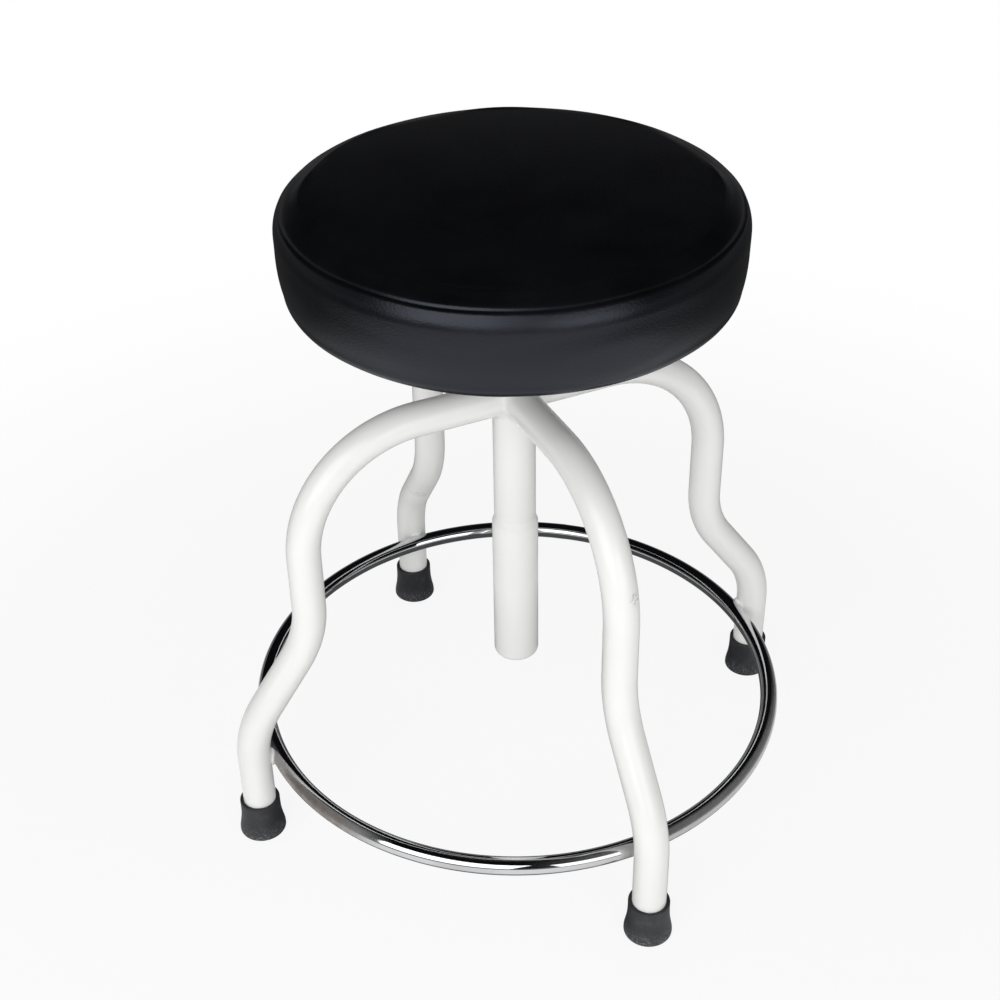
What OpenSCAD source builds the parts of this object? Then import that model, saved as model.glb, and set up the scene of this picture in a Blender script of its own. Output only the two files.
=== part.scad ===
// Screw-adjusted round stool on four bent tube legs, with a foot ring inside the legs.
// Millimetres, +Z up. Origin on the floor at the centre of the stool, front towards -Y.
// The legs stand on the diagonals. The seat is shown part-way up its travel.

/* [Seat cushion] */
// Diameter of the cushion at its widest
seat_d = 322; // [300:1:380]
// Height of the top of the crown above the floor, as shown
seat_height = 507; // [500:1:540]
// Thickness from the crown to the lowest point of the edge
seat_t = 73; // [62:1:76]
// Rise of the crown above the edge of the top
seat_crown = 5; // [2:0.5:9]
// Rounding between the top and the side
seat_edge_r = 20; // [14:0.5:24]
// How far the side draws in towards its bottom
seat_draw = 3; // [1:0.5:6]
// Rounding where the cover rolls under
seat_roll_r = 9; // [6:0.5:12]
// Thickness of the cover
cover_t = 1.2; // [0.8:0.1:2]
// Width of the cover turned in under the board
cover_turn = 30; // [20:1:36]

/* [Seat board] */
// Thickness of the plywood board
board_t = 12; // [9:0.5:18]
// Distance of the board's edge inside the cushion's side
board_margin = 13; // [13:0.5:18]
// Height of the board's underside above the cushion's lowest point
board_lift = 3.2; // [2.4:0.1:4]
// Thickness of the black lining under the board
lining_t = 0.8; // [0.5:0.1:1.2]
// How far the lining laps over the turned cover
lining_lap = 10; // [6:0.5:14]
// Number of staples that hold the cover and the lining
staple_count = 16; // [8:1:24]
// Width of a staple's crown
staple_w = 10; // [6:0.5:12]
// Thickness of the staple wire
staple_wire = 0.8; // [0.5:0.1:1.2]
// Length of a staple's legs
staple_leg = 8; // [5:0.5:8.5]

/* [Seat plate] */
// Diameter of the steel plate under the seat
plate_d = 140; // [132:1:180]
// Thickness of the steel plate
plate_t = 4; // [3:0.5:5]
// Diameter of the boss round the spindle
boss_d = 42; // [34:1:60]
// Height of the boss below the plate
boss_h = 8; // [4:0.5:9]
// Diameter of the circle of screws
screw_circle_d = 108; // [90:1:114]
// Thread diameter of a seat screw
screw_d = 6; // [5:0.5:8]
// Width across the corners of a screw head
screw_head_w = 11.5; // [10:0.5:14]
// Height of a screw head
screw_head_h = 4; // [3:0.5:5]
// Diameter of a plain washer
washer_d = 14; // [14:0.5:18]
// Thickness of a plain washer
washer_t = 1.6; // [1:0.1:2]
// Clearance all round a screw in its holes
screw_gap = 0.3; // [0.1:0.05:0.5]
// Diameter of a T-nut's flange
tnut_flange_d = 19; // [14:0.5:24]
// Thickness of a T-nut's flange
tnut_flange_t = 1.2; // [0.8:0.1:1.6]
// Wall of a T-nut's barrel
tnut_wall = 1; // [0.8:0.1:1.5]
// Length of a T-nut's barrel in the board
tnut_len = 8; // [6:0.5:8.5]

/* [Spindle] */
// Diameter of the spindle over its thread
spindle_d = 24; // [20:0.5:25]
// Depth of the thread
thread_depth = 1.2; // [0.8:0.1:1.6]
// Rise of the seat in one turn
thread_lead = 8; // [6:1:10]
// Number of thread starts
thread_starts = 2; // [1:1:2]
// Running clearance of the spindle in the nut, on the radius
thread_gap = 0.05; // [0.02:0.01:0.1]
// Travel up from the position shown
lift_up = 128; // [100:1:140]
// Travel down from the position shown
lift_down = 56; // [40:1:58]
// Thickness of the stop washer
stop_t = 3; // [2:0.5:4]
// Clearance of the stop washer in the hub tube, on the radius
stop_gap = 0.5; // [0.3:0.1:0.9]
// Thread diameter of the stop screw
stop_screw_d = 8; // [6:0.5:10]
// Length of the stop screw in the spindle
stop_screw_len = 20; // [12:1:30]
// Diameter of the stop screw's head
stop_head_d = 14; // [12:0.5:18]
// Height of the stop screw's head
stop_head_h = 4.5; // [3:0.5:6]
// Room left between moving stops at the ends of the travel
stop_room = 1; // [0.5:0.1:2]

/* [Hub] */
// Outer diameter of the hub tube
hub_d = 31.8; // [30.5:0.1:33]
// Wall of the hub tube
hub_wall = 1.6; // [1.2:0.1:1.8]
// Height of the hub tube above the arms
hub_above = 4; // [2:0.5:8]
// Length of the hub tube inside the guard tube
hub_lap = 30; // [15:1:40]
// Length of the nut inside the hub tube
nut_len = 45; // [30:1:60]
// Diameter of the nut's flange
nut_flange_d = 36; // [34:0.5:44]
// Thickness of the nut's flange
nut_flange_t = 3; // [2:0.5:3]
// Diameter of the wear washer on the nut
wear_d = 40; // [34:0.5:48]
// Thickness of the wear washer
wear_t = 2.5; // [1.5:0.5:3]
// Clearance of the wear washer round the spindle, on the radius
wear_gap = 0.2; // [0.1:0.05:0.4]
// Running gap under the wear washer
wear_lift = 0.1; // [0.05:0.05:0.3]

/* [Guard tube] */
// Wall of the guard tube
guard_wall = 1.6; // [1.2:0.1:2.5]
// Clearance of the guard tube round the hub tube, on the radius
guard_gap = 0.1; // [0.05:0.05:0.2]
// Height of the guard tube's top edge
guard_top = 230; // [220:1:260]
// Room in the guard tube under the stop screw at the bottom of the travel
guard_room = 18.6; // [10:0.2:30]
// Rounding of the guard tube's bottom edge
guard_round = 6; // [3:0.5:8]

/* [Legs] */
// Outer diameter of the leg tube
leg_d = 25.4; // [22:0.1:28]
// Wall of the leg tube
leg_wall = 1.5; // [1:0.1:2]
// Height of the arm's centre line
arm_height = 342; // [335:1:342]
// Radius at which a leg drops, from the stool's centre
drop_radius = 169; // [150:1:175]
// Radius at which a foot stands, from the stool's centre
foot_radius = 224.5; // [215:0.5:240]
// Bending radius of the shoulder, on the tube's centre line
shoulder_radius = 92.5; // [75:0.5:95]
// Bending radius of the two lower bends, on the tube's centre line
kick_radius = 78; // [60:1:85]
// Angle by which a leg kicks out below the drop
kick_angle = 36; // [30:1:42]
// Height at which the kick-out starts
kick_height = 203.5; // [200:0.5:215]

/* [Foot ring] */
// Diameter of the ring's round bar
ring_bar_d = 13.5; // [12:0.1:16]
// Drop from the bend above a foot to the ring's centre line
ring_drop = 6.4; // [6.2:0.1:16]
// Gap between the ring and a leg that the weld fills
weld_gap = 0.5; // [0.3:0.1:1]
// Radius of a weld bead
weld_r = 6; // [4:0.5:6]

/* [Rubber feet] */
// Height of a rubber foot
boot_h = 32; // [24:1:40]
// Diameter of a rubber foot at the floor
boot_base_d = 36; // [34:0.5:44]
// Diameter of a rubber foot at its rim
boot_rim_d = 31; // [30:0.5:34]
// Thickness of the rubber under the tube
boot_floor = 6; // [4:0.5:10]
// Rounding of the rim and of the floor edge
boot_round = 1.2; // [0.6:0.1:1.4]
// Thickness of the steel washer inside a rubber foot
foot_washer_t = 1.5; // [1:0.5:2.5]

/* [Hidden] */
$fn = 96;
eps = 0.01;

paint = "#f1f1ef";
bright = "#c4c8cc";
steel = "#8f9398";
rubber = "#3a3b3d";
vinyl = "#1b1c1f";
ply = "#c9a877";

// Directions of the legs, as turns about +Z from +X
back_right_angle = 45;
back_left_angle = 135;
front_left_angle = 225;
front_right_angle = 315;
LEG_TURNS = [back_right_angle, back_left_angle, front_left_angle, front_right_angle];

// Heights down from the hub
hub_top = arm_height + leg_d / 2 + hub_above;
hub_bottom = guard_top - hub_lap;
hub_bore_d = hub_d - 2 * hub_wall;
nut_top = hub_top + nut_flange_t;
nut_bottom = hub_top - nut_len;
wear_bottom = nut_top + wear_lift;
guard_bore_d = hub_d + 2 * guard_gap;
guard_d = guard_bore_d + 2 * guard_wall;

// Heights in the seat
seat_bottom = seat_height - seat_t;
seat_edge_z = seat_height - seat_crown;
board_z = seat_bottom + board_lift;
board_top = board_z + board_t;
board_r = seat_d / 2 - board_margin;
turn_r = board_r - cover_turn;
tuck_r = board_r - seat_roll_r;
plate_top = board_z - lining_t;
plate_z = plate_top - plate_t;
boss_z = plate_z - boss_h;
screw_r = screw_circle_d / 2;
head_top = plate_z - washer_t;

// Spindle, from its stop to the top of the plate
spindle_bottom = nut_bottom - lift_up - stop_room;
thread_pitch = thread_lead / thread_starts;
thread_count = floor((boss_z - spindle_bottom) / thread_pitch) - 1;
core_r = spindle_d / 2 - thread_depth;
stop_d = hub_bore_d - 2 * stop_gap;
guard_floor = spindle_bottom - stop_t - stop_head_h - lift_down - guard_room;
guard_bottom = guard_floor - guard_wall;

// Bends of a leg, in the plane of the leg
leg_end = boot_floor + foot_washer_t;
bend_out = kick_radius * (1 - cos(kick_angle));
bend_drop = kick_radius * sin(kick_angle);
slant = (foot_radius - drop_radius - 2 * bend_out) / sin(kick_angle);
foot_bend_z = kick_height - 2 * bend_drop - slant * cos(kick_angle);

bend_thin = 0.1;
bend_lap = 0.5;

// Foot ring, close against the inner side of the legs, below their bend
ring_r = foot_radius - leg_d / 2 - weld_gap - ring_bar_d / 2;
ring_height = foot_bend_z - ring_drop;

// Points along an arc
function arc(x, y, r, a, b, n) = [
    for (i = [0:n]) [x + r * cos(a + (b - a) * i / n), y + r * sin(a + (b - a) * i / n)]
];

// Outline of the cushion from its crown to the tuck under the board, set in by t
function cushion(t) = concat(
    [for (i = [0:8])
        [(seat_d / 2 - seat_edge_r) * i / 9, seat_height - seat_crown * pow(i / 9, 2) - t]],
    arc(seat_d / 2 - seat_edge_r, seat_edge_z - seat_edge_r, seat_edge_r - t, 90, 0, 9),
    [for (i = [1:5]) [
        seat_d / 2 - t - seat_draw * pow(i / 6, 2),
        seat_edge_z - seat_edge_r - side_h * i / 6
    ]],
    arc(seat_d / 2 - seat_draw - seat_roll_r, seat_bottom + seat_roll_r, seat_roll_r - t, 0, -90, 6),
    [[tuck_r, board_z - cover_t + t]]
);
side_h = seat_edge_z - seat_edge_r - seat_bottom - seat_roll_r;

// A copy at each leg
module at_legs(r, z) {
    for (a = LEG_TURNS)
        rotate([0, 0, a])
            translate([r, 0, z])
                children();
}

// A copy at each seat screw
module at_screws(z) {
    for (a = [0:90:270])
        rotate([0, 0, a])
            translate([screw_r, 0, z])
                children();
}

// Section of the leg tube, its skins set into the wall by t
module leg_section(t) {
    difference() {
        circle(r = leg_d / 2 - t);
        circle(r = leg_d / 2 - leg_wall + t);
    }
}

module leg_straight(length) {
    linear_extrude(height = length)
        leg_section(0);
}

// A bend is a hair thinner than the tube and runs a little way into both straights
module leg_bend(radius, angle) {
    rotate([0, 0, -bend_lap])
        rotate_extrude(angle = angle + 2 * bend_lap)
            translate([radius, 0])
                leg_section(bend_thin);
}

// Stretches along the leg's centre line, from the hub to the foot, drawn along +X
module leg_run() {
    translate([0, 0, arm_height])
        rotate([0, 90, 0])
            leg_straight(drop_radius - shoulder_radius);
    translate([drop_radius - shoulder_radius, 0, arm_height - shoulder_radius])
        rotate([90, 0, 0])
            leg_bend(shoulder_radius, 90);
    translate([drop_radius, 0, kick_height])
        leg_straight(arm_height - shoulder_radius - kick_height);
    translate([drop_radius + kick_radius, 0, kick_height])
        rotate([90, 180, 0])
            leg_bend(kick_radius, kick_angle);
    translate([drop_radius + bend_out, 0, kick_height - bend_drop])
        rotate([0, 180 - kick_angle, 0])
            leg_straight(slant);
    translate([foot_radius - kick_radius, 0, foot_bend_z])
        rotate([90, 0, 0])
            leg_bend(kick_radius, kick_angle);
    translate([foot_radius, 0, leg_end])
        leg_straight(foot_bend_z - leg_end);
}

// One bent tube, coped to the hub and mitred against its neighbours
module bent_leg(turn) {
    color(paint)
        rotate([0, 0, turn])
            difference() {
                intersection() {
                    leg_run();
                    linear_extrude(height = arm_height + leg_d)
                        polygon([[0, 0], [foot_radius + leg_d, foot_radius + leg_d],
                            [foot_radius + leg_d, -foot_radius - leg_d]]);
                }
                cylinder(d = hub_d, h = hub_top);
            }
}

module leg_front_left() {
    bent_leg(front_left_angle);
}

module leg_front_right() {
    bent_leg(front_right_angle);
}

module leg_back_left() {
    bent_leg(back_left_angle);
}

module leg_back_right() {
    bent_leg(back_right_angle);
}

module hub_tube() {
    color(paint)
        translate([0, 0, hub_bottom])
            difference() {
                cylinder(d = hub_d, h = hub_top - hub_bottom);
                translate([0, 0, -1])
                    cylinder(d = hub_bore_d, h = hub_top - hub_bottom + 2);
            }
}

// Wider tube slid on below, with a rounded closed bottom
module guard_tube() {
    color(paint)
        rotate_extrude()
            polygon(concat(
                [[0, guard_bottom]],
                arc(guard_d / 2 - guard_round, guard_bottom + guard_round, guard_round, -90, 0, 6),
                [[guard_d / 2, guard_top], [guard_bore_d / 2, guard_top]],
                [[guard_bore_d / 2, guard_bottom + guard_round],
                    [guard_d / 2 - guard_round, guard_bottom + guard_wall],
                    [0, guard_bottom + guard_wall]]
            ));
}

module ring_bar() {
    translate([0, 0, ring_height])
        rotate_extrude($fn = 384)
            translate([ring_r, 0])
                circle(d = ring_bar_d);
}

module foot_ring() {
    color(bright)
        ring_bar();
}

// Beads that fill the gap between the ring and each leg
module ring_welds() {
    color(paint)
        for (a = LEG_TURNS)
            rotate([0, 0, a])
                difference() {
                    translate([ring_r, 0, ring_height])
                        rotate([0, 90, 0])
                            cylinder(r = weld_r, h = foot_radius - ring_r);
                    translate([foot_radius, 0, 0])
                        cylinder(d = leg_d, h = foot_bend_z + eps);
                    translate([foot_radius - kick_radius, 0, foot_bend_z])
                        rotate([90, 0, 0])
                            rotate_extrude(angle = kick_angle)
                                translate([kick_radius, 0])
                                    circle(r = leg_d / 2 - bend_thin);
                    ring_bar();
                }
}

module rubber_foot(turn) {
    color(rubber)
        rotate([0, 0, turn])
            translate([foot_radius, 0, 0])
                difference() {
                    rotate_extrude()
                        polygon(concat(
                            [[0, 0]],
                            arc(boot_base_d / 2 - boot_round, boot_round, boot_round, -90, 0, 4),
                            arc(boot_rim_d / 2 - boot_round, boot_h - boot_round, boot_round, 0, 90, 4),
                            [[0, boot_h]]
                        ));
                    translate([0, 0, boot_floor])
                        cylinder(d = leg_d, h = boot_h);
                }
}

module rubber_foot_front_left() {
    rubber_foot(front_left_angle);
}

module rubber_foot_front_right() {
    rubber_foot(front_right_angle);
}

module rubber_foot_back_left() {
    rubber_foot(back_left_angle);
}

module rubber_foot_back_right() {
    rubber_foot(back_right_angle);
}

// Steel washers that keep the tube ends from cutting the rubber
module foot_washers() {
    color(steel)
        at_legs(foot_radius, boot_floor)
            difference() {
                cylinder(d = leg_d - 2 * screw_gap, h = foot_washer_t);
                translate([0, 0, -1])
                    cylinder(d = screw_d, h = foot_washer_t + 2);
            }
}

module hub_nut() {
    color(steel)
        difference() {
            union() {
                translate([0, 0, nut_bottom])
                    cylinder(d = hub_bore_d, h = nut_len);
                translate([0, 0, hub_top])
                    cylinder(d = nut_flange_d, h = nut_flange_t);
            }
            translate([0, 0, nut_bottom - 1])
                cylinder(d = spindle_d + 2 * thread_gap, h = nut_len + nut_flange_t + 2);
        }
}

module wear_washer() {
    color("#dcdcd4")
        translate([0, 0, wear_bottom])
            difference() {
                cylinder(d = wear_d, h = wear_t);
                translate([0, 0, -1])
                    cylinder(d = spindle_d + 2 * wear_gap, h = wear_t + 2);
            }
}

// Screw spindle; each groove is a ring, with the thread's own pitch and depth
module spindle() {
    color(steel)
        difference() {
            rotate_extrude()
                polygon(concat(
                    [[0, spindle_bottom], [core_r, spindle_bottom]],
                    [for (i = [0:thread_count - 1], p = thread_ridge)
                        [p[0], spindle_bottom + (i + p[1]) * thread_pitch]],
                    [[core_r, spindle_bottom + (thread_count + 0.2) * thread_pitch],
                        [spindle_d / 2, spindle_bottom + (thread_count + 0.35) * thread_pitch],
                        [spindle_d / 2, plate_top], [0, plate_top]]
                ));
            translate([0, 0, spindle_bottom - 1])
                cylinder(d = stop_screw_d, h = stop_screw_len + 1);
        }
}
// One ridge: radius, and place along the pitch
thread_ridge = [[core_r, 0.2], [spindle_d / 2, 0.35], [spindle_d / 2, 0.65], [core_r, 0.8]];

module stop_washer() {
    color(steel)
        translate([0, 0, spindle_bottom - stop_t])
            difference() {
                cylinder(d = stop_d, h = stop_t);
                translate([0, 0, -1])
                    cylinder(d = stop_screw_d + 2 * screw_gap, h = stop_t + 2);
            }
}

module stop_screw() {
    color(steel)
        translate([0, 0, spindle_bottom - stop_t]) {
            cylinder(d = stop_screw_d, h = stop_t + stop_screw_len);
            translate([0, 0, -stop_head_h])
                difference() {
                    cylinder(d = stop_head_d, h = stop_head_h);
                    translate([0, 0, -1])
                        cylinder(d = stop_screw_d * 0.65, h = stop_head_h / 2 + 1, $fn = 6);
                }
        }
}

module seat_plate() {
    color(steel)
        difference() {
            union() {
                translate([0, 0, plate_z])
                    cylinder(d = plate_d, h = plate_t);
                translate([0, 0, boss_z])
                    cylinder(d = boss_d, h = boss_h);
            }
            translate([0, 0, boss_z - 1])
                cylinder(d = spindle_d, h = boss_h + plate_t + 2);
            at_screws(plate_z - 1)
                cylinder(d = screw_d + 2 * screw_gap, h = plate_t + 2);
        }
}

module plate_screws() {
    color(bright)
        at_screws(head_top) {
            cylinder(d = screw_d, h = board_top - head_top);
            translate([0, 0, -screw_head_h])
                cylinder(d = screw_head_w, h = screw_head_h, $fn = 6);
        }
}

module plate_washers() {
    color(bright)
        at_screws(head_top)
            difference() {
                cylinder(d = washer_d, h = washer_t);
                translate([0, 0, -1])
                    cylinder(d = screw_d + 2 * screw_gap, h = washer_t + 2);
            }
}

module t_nuts() {
    color(steel)
        at_screws(board_top)
            difference() {
                union() {
                    cylinder(d = tnut_flange_d, h = tnut_flange_t);
                    translate([0, 0, -tnut_len])
                        cylinder(d = screw_d + 2 * tnut_wall, h = tnut_len);
                }
                translate([0, 0, -tnut_len - 1])
                    cylinder(d = screw_d, h = tnut_len + tnut_flange_t + 2);
            }
}

module seat_board() {
    color(ply)
        difference() {
            translate([0, 0, board_z])
                cylinder(r = board_r, h = board_t);
            at_screws(board_z - 1)
                cylinder(d = screw_d + 2 * screw_gap, h = board_t + 2);
            at_screws(board_top - tnut_len)
                cylinder(d = screw_d + 2 * tnut_wall, h = tnut_len + 1);
            staple_legs();
        }
}

// Black cloth under the board, stepped over the edge of the turned cover
module seat_lining() {
    color("#232427")
        difference() {
            rotate_extrude()
                polygon([
                    [0, board_z], [turn_r - eps, board_z],
                    [turn_r - eps, board_z - cover_t], [turn_r + lining_lap, board_z - cover_t],
                    [turn_r + lining_lap, staple_z], [turn_r - lining_t, staple_z],
                    [turn_r - lining_t, board_z - lining_t], [0, board_z - lining_t]
                ]);
            at_screws(board_z - lining_t - 1)
                cylinder(d = screw_d + 2 * screw_gap, h = lining_t + 2);
            staple_legs();
        }
}
staple_z = board_z - cover_t - lining_t;

module at_staples() {
    for (i = [0:staple_count - 1])
        rotate([0, 0, (i + 0.5) * 360 / staple_count])
            translate([turn_r + lining_lap / 2, 0, staple_z])
                children();
}

module staple_legs() {
    at_staples()
        for (s = [-1, 1])
            translate([0, s * (staple_w - staple_wire) / 2, (staple_leg - staple_wire) / 2])
                cube([staple_wire, staple_wire, staple_leg + staple_wire], center = true);
}

module seat_staples() {
    color(bright) {
        staple_legs();
        at_staples()
            translate([0, 0, -staple_wire / 2])
                cube([staple_wire, staple_w, staple_wire], center = true);
    }
}

module seat_foam() {
    color("#d8cfa8")
        difference() {
            rotate_extrude()
                polygon(concat(
                    cushion(cover_t),
                    [[board_r, board_z], [board_r, board_top], [0, board_top]]
                ));
            at_screws(board_top - 1)
                cylinder(d = tnut_flange_d, h = tnut_flange_t + 1);
        }
}

// Cover drawn over the foam and turned in under the board
module seat_cover() {
    color(vinyl)
        difference() {
            rotate_extrude()
                polygon(concat(
                    cushion(0),
                    [[turn_r, board_z - cover_t], [turn_r, board_z]],
                    reverse(cushion(cover_t))
                ));
            staple_legs();
        }
}

function reverse(list) = [for (i = [len(list) - 1:-1:0]) list[i]];

leg_front_left();
leg_front_right();
leg_back_left();
leg_back_right();
hub_tube();
guard_tube();
foot_ring();
ring_welds();
rubber_foot_front_left();
rubber_foot_front_right();
rubber_foot_back_left();
rubber_foot_back_right();
foot_washers();
hub_nut();
wear_washer();
spindle();
stop_washer();
stop_screw();
seat_plate();
plate_screws();
plate_washers();
t_nuts();
seat_board();
seat_lining();
seat_staples();
seat_foam();
seat_cover();
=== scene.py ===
"""A screw-lift clinic stool, dressed round its CAD frame.

The stand is welded tube on rubber feet. The padded seat turns and rises with a
threaded spindle. Sizes are in millimetres in the classes and become metres when
a mesh is made, and every piece stays where its CAD node is.
"""

import logging
import math
import random
from dataclasses import dataclass, field
from enum import Enum
from typing import Callable, Sequence, Union

import bmesh
import bpy
import numpy as np
from mathutils import Matrix, Vector
from mathutils.bvhtree import BVHTree


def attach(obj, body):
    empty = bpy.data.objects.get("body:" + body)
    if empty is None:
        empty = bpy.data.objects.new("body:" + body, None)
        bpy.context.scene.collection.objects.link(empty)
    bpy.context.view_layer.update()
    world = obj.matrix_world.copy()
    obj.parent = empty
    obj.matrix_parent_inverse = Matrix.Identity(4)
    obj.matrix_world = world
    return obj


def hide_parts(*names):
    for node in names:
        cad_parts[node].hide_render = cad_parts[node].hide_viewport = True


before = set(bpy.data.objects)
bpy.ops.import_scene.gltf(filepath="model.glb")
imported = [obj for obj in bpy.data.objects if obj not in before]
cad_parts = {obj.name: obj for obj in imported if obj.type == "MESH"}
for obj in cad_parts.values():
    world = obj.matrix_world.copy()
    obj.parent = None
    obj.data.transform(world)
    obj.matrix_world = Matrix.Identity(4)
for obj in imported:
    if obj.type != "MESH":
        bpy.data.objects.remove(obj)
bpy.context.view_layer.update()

MM = 0.001
ANY_RADIUS = 10.0  # of a circle whose points are placed afterwards
WAVE_SCALE = 0.31  # scale at which a wave texture's bands are 1 m apart

Place = tuple[float, float, float]
Span = tuple[float, float]
Outline = Sequence[Span]
Spot = tuple[Place, float, float]
Waves = tuple[tuple[float, int, float], ...]
Tree = bpy.types.NodeTree
Socket = bpy.types.NodeSocket
Feed = Union[bpy.types.Node, Socket, str, float, Sequence[float]]
Feeds = dict[Union[str, int], Feed]

logging.basicConfig(level=logging.INFO, format="%(message)s")
log = logging.getLogger("stool")


class Body(Enum):
    """The bodies that pieces ride on."""

    STAND = "stand"
    WASHER = "turning_washer"
    SEAT = "seat"


class Slot(Enum):
    """The material slots."""

    PAINT = "frame_paint"
    CHROME = "ring_chrome"
    RUBBER = "foot_rubber"
    STEEL = "bare_steel"
    ZINC = "zinc"
    PLASTIC = "washer_plastic"
    PLYWOOD = "plywood"
    LINING = "lining_cloth"
    FOAM = "foam"
    VINYL = "vinyl"


class Corner(Enum):
    """The four legs, each with its turn about the spindle in degrees from +X."""

    FRONT_LEFT = 225
    FRONT_RIGHT = 315
    BACK_LEFT = 135
    BACK_RIGHT = 45

    @property
    def tag(self) -> str:
        """The corner's name as the CAD nodes write it."""
        return self.name.lower()

    @property
    def turn(self) -> Matrix:
        """The turn from +X to this corner."""
        return Matrix.Rotation(math.radians(self.value), 4, "Z")


# ---------------------------------------------------------------- materials


def linear(code: str) -> tuple[float, float, float, float]:
    """The linear colour, with an alpha of 1, of an sRGB value written as "#rrggbb"."""
    parts = [int(code[i : i + 2], 16) / 255 for i in (1, 3, 5)]
    return (*(c / 12.92 if c <= 0.04045 else ((c + 0.055) / 1.055) ** 2.4 for c in parts), 1.0)


def scale_for(width: float) -> float:
    """The texture scale at which one patch is this many millimetres wide."""
    return 1 / (width * MM)


def add_node(tree: Tree, kind: str, feeds: Feeds | None = None, **settings: object) -> bpy.types.Node:
    """Adds a node with its settings and what feeds it.

    Args:
        tree: The node tree that gets the node.
        kind: The node's type, without "ShaderNode".
        feeds: For each input, by name or number, what feeds it: a socket, a node, of which
            the first live output is taken, an sRGB hex colour or a plain value.
        **settings: Attributes of the node.

    Returns:
        The new node.
    """
    node = tree.nodes.new("ShaderNode" + kind)
    for key, value in settings.items():
        setattr(node, key, value)
    for key, value in (feeds or {}).items():
        if isinstance(value, bpy.types.Node):
            value = next(output for output in value.outputs if output.enabled)
        if isinstance(value, Socket):
            tree.links.new(value, node.inputs[key])
        else:
            node.inputs[key].default_value = linear(value) if isinstance(value, str) else value
    return node


def add_spots(tree: Tree, place: Socket, spots: Sequence[Spot]) -> bpy.types.Node:
    """Full strength in the middle of each spot, falling to 0 at its edge.

    Args:
        tree: The node tree.
        place: The object coordinates.
        spots: The middle and radius of each, in millimetres, and its strength.

    Returns:
        The node that gives the strongest of them at each point.
    """
    best = None
    for centre, radius, strength in spots:
        far = add_node(tree, "VectorMath", {0: place, 1: Vector(centre) * MM}, operation="DISTANCE")
        fall = {"From Min": 0.3 * radius * MM, "From Max": radius * MM, "To Min": strength, "To Max": 0.0}
        near = add_node(tree, "MapRange", {"Value": far} | fall, interpolation_type="SMOOTHSTEP")
        best = near if best is None else add_node(tree, "Math", {0: best, 1: near}, operation="MAXIMUM")
    return best


@dataclass(frozen=True)
class Cloud:
    """Patches of noise, so many millimetres wide, and how far the part that shows is turned up."""

    width: float
    detail: float
    broken: float = 0.5
    part: Span = (0.3, 0.7)
    values: Span = (0.0, 1.0)

    def feeds(self, place: Feed) -> Feeds:
        """What feeds the noise at these coordinates."""
        size = scale_for(self.width)
        return {"Vector": place, "Scale": size, "Detail": self.detail, "Roughness": self.broken}

    def shown(self, tree: Tree, place: Feed) -> bpy.types.Node:
        """Spreads the part of the noise that shows over the cloud's values.

        Args:
            tree: The material's node tree.
            place: The coordinates.

        Returns:
            The node that gives the value.
        """
        noise = add_node(tree, "TexNoise", self.feeds(place))
        part = {"From Min": self.part[0], "From Max": self.part[1]}
        values = {"To Min": self.values[0], "To Max": self.values[1]}
        return add_node(tree, "MapRange", {"Value": noise} | part | values)


@dataclass(frozen=True)
class Finish:
    """What a surface is made of: its material slot, and the plain values of its shader.

    Where the gloss is uneven, a cloud takes the place of the plain roughness.
    """

    name: str
    slot: Slot
    colour: str
    roughness: float
    metallic: float = 0.0
    ior: float = 1.5
    gloss: Cloud | None = None

    def material(self) -> bpy.types.Material:
        """The finish as a material, made the first time it is asked for.

        Returns:
            The material that all pieces of this finish share.
        """
        found = bpy.data.materials.get(self.name)
        if found:
            return found
        made = bpy.data.materials.new(self.name)
        made.use_nodes = True
        made.diffuse_color = linear(self.colour)
        tree = made.node_tree
        tree.nodes.clear()
        plain = {"Base Color": self.colour, "Roughness": self.roughness}
        plain |= {"Metallic": self.metallic, "IOR": self.ior}
        place = add_node(tree, "TexCoord").outputs["Object"]
        if self.gloss:
            plain["Roughness"] = self.gloss.shown(tree, place)
        shader = add_node(tree, "BsdfPrincipled", plain | self.dress(tree, place))
        add_node(tree, "OutputMaterial", {0: shader})
        return made

    def dress(self, tree: Tree, place: Socket) -> Feeds:
        """Makes what the surface shows beyond its plain values, and gives what feeds the shader."""
        return {}


@dataclass(frozen=True)
class PowderCoat(Finish):
    """Powder coat, sprayed on steel tube and baked."""

    stain: str = "#ececea"
    scuff: str = "#a9a6a0"
    scuffs: tuple[Spot, ...] = (((128.7, -120.5, 277.0), 7.0, 1.0), ((-133.0, 128.0, 140.0), 6.0, 1.0))
    gloss: Cloud = Cloud(40.0, 3, values=(0.17, 0.25))
    handled: Cloud = Cloud(110.0, 2, 0.5, (0.5, 0.8), (0.0, 0.6))
    rub: Cloud = Cloud(2.2, 4, 0.7, (0.5, 0.62))
    peel: Cloud = Cloud(3.2, 1)
    peel_depth: float = 0.015

    def dress(self, tree: Tree, place: Socket) -> Feeds:
        """Makes the orange peel, very faint handling marks and two scuffs.

        Args:
            tree: The material's node tree.
            place: The object coordinates.

        Returns:
            What feeds the shader's inputs.
        """
        marks = self.handled.shown(tree, place)
        clean = add_node(tree, "Mix", {0: marks, 6: self.colour, 7: self.stain}, data_type="RGBA")
        rubbed, where = self.rub.shown(tree, place), add_spots(tree, place, self.scuffs)
        wear_and_painted_tint = add_node(tree, "Math", {0: rubbed, 1: where}, operation="MULTIPLY")
        paint = add_node(tree, "Mix", {0: wear_and_painted_tint, 6: clean, 7: self.scuff}, data_type="RGBA")
        peel = add_node(tree, "TexNoise", self.peel.feeds(place))
        relief = add_node(tree, "Bump", {"Height": peel, "Distance": self.peel_depth * MM, "Strength": 0.4})
        return {"Base Color": paint, "Normal": relief}


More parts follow.
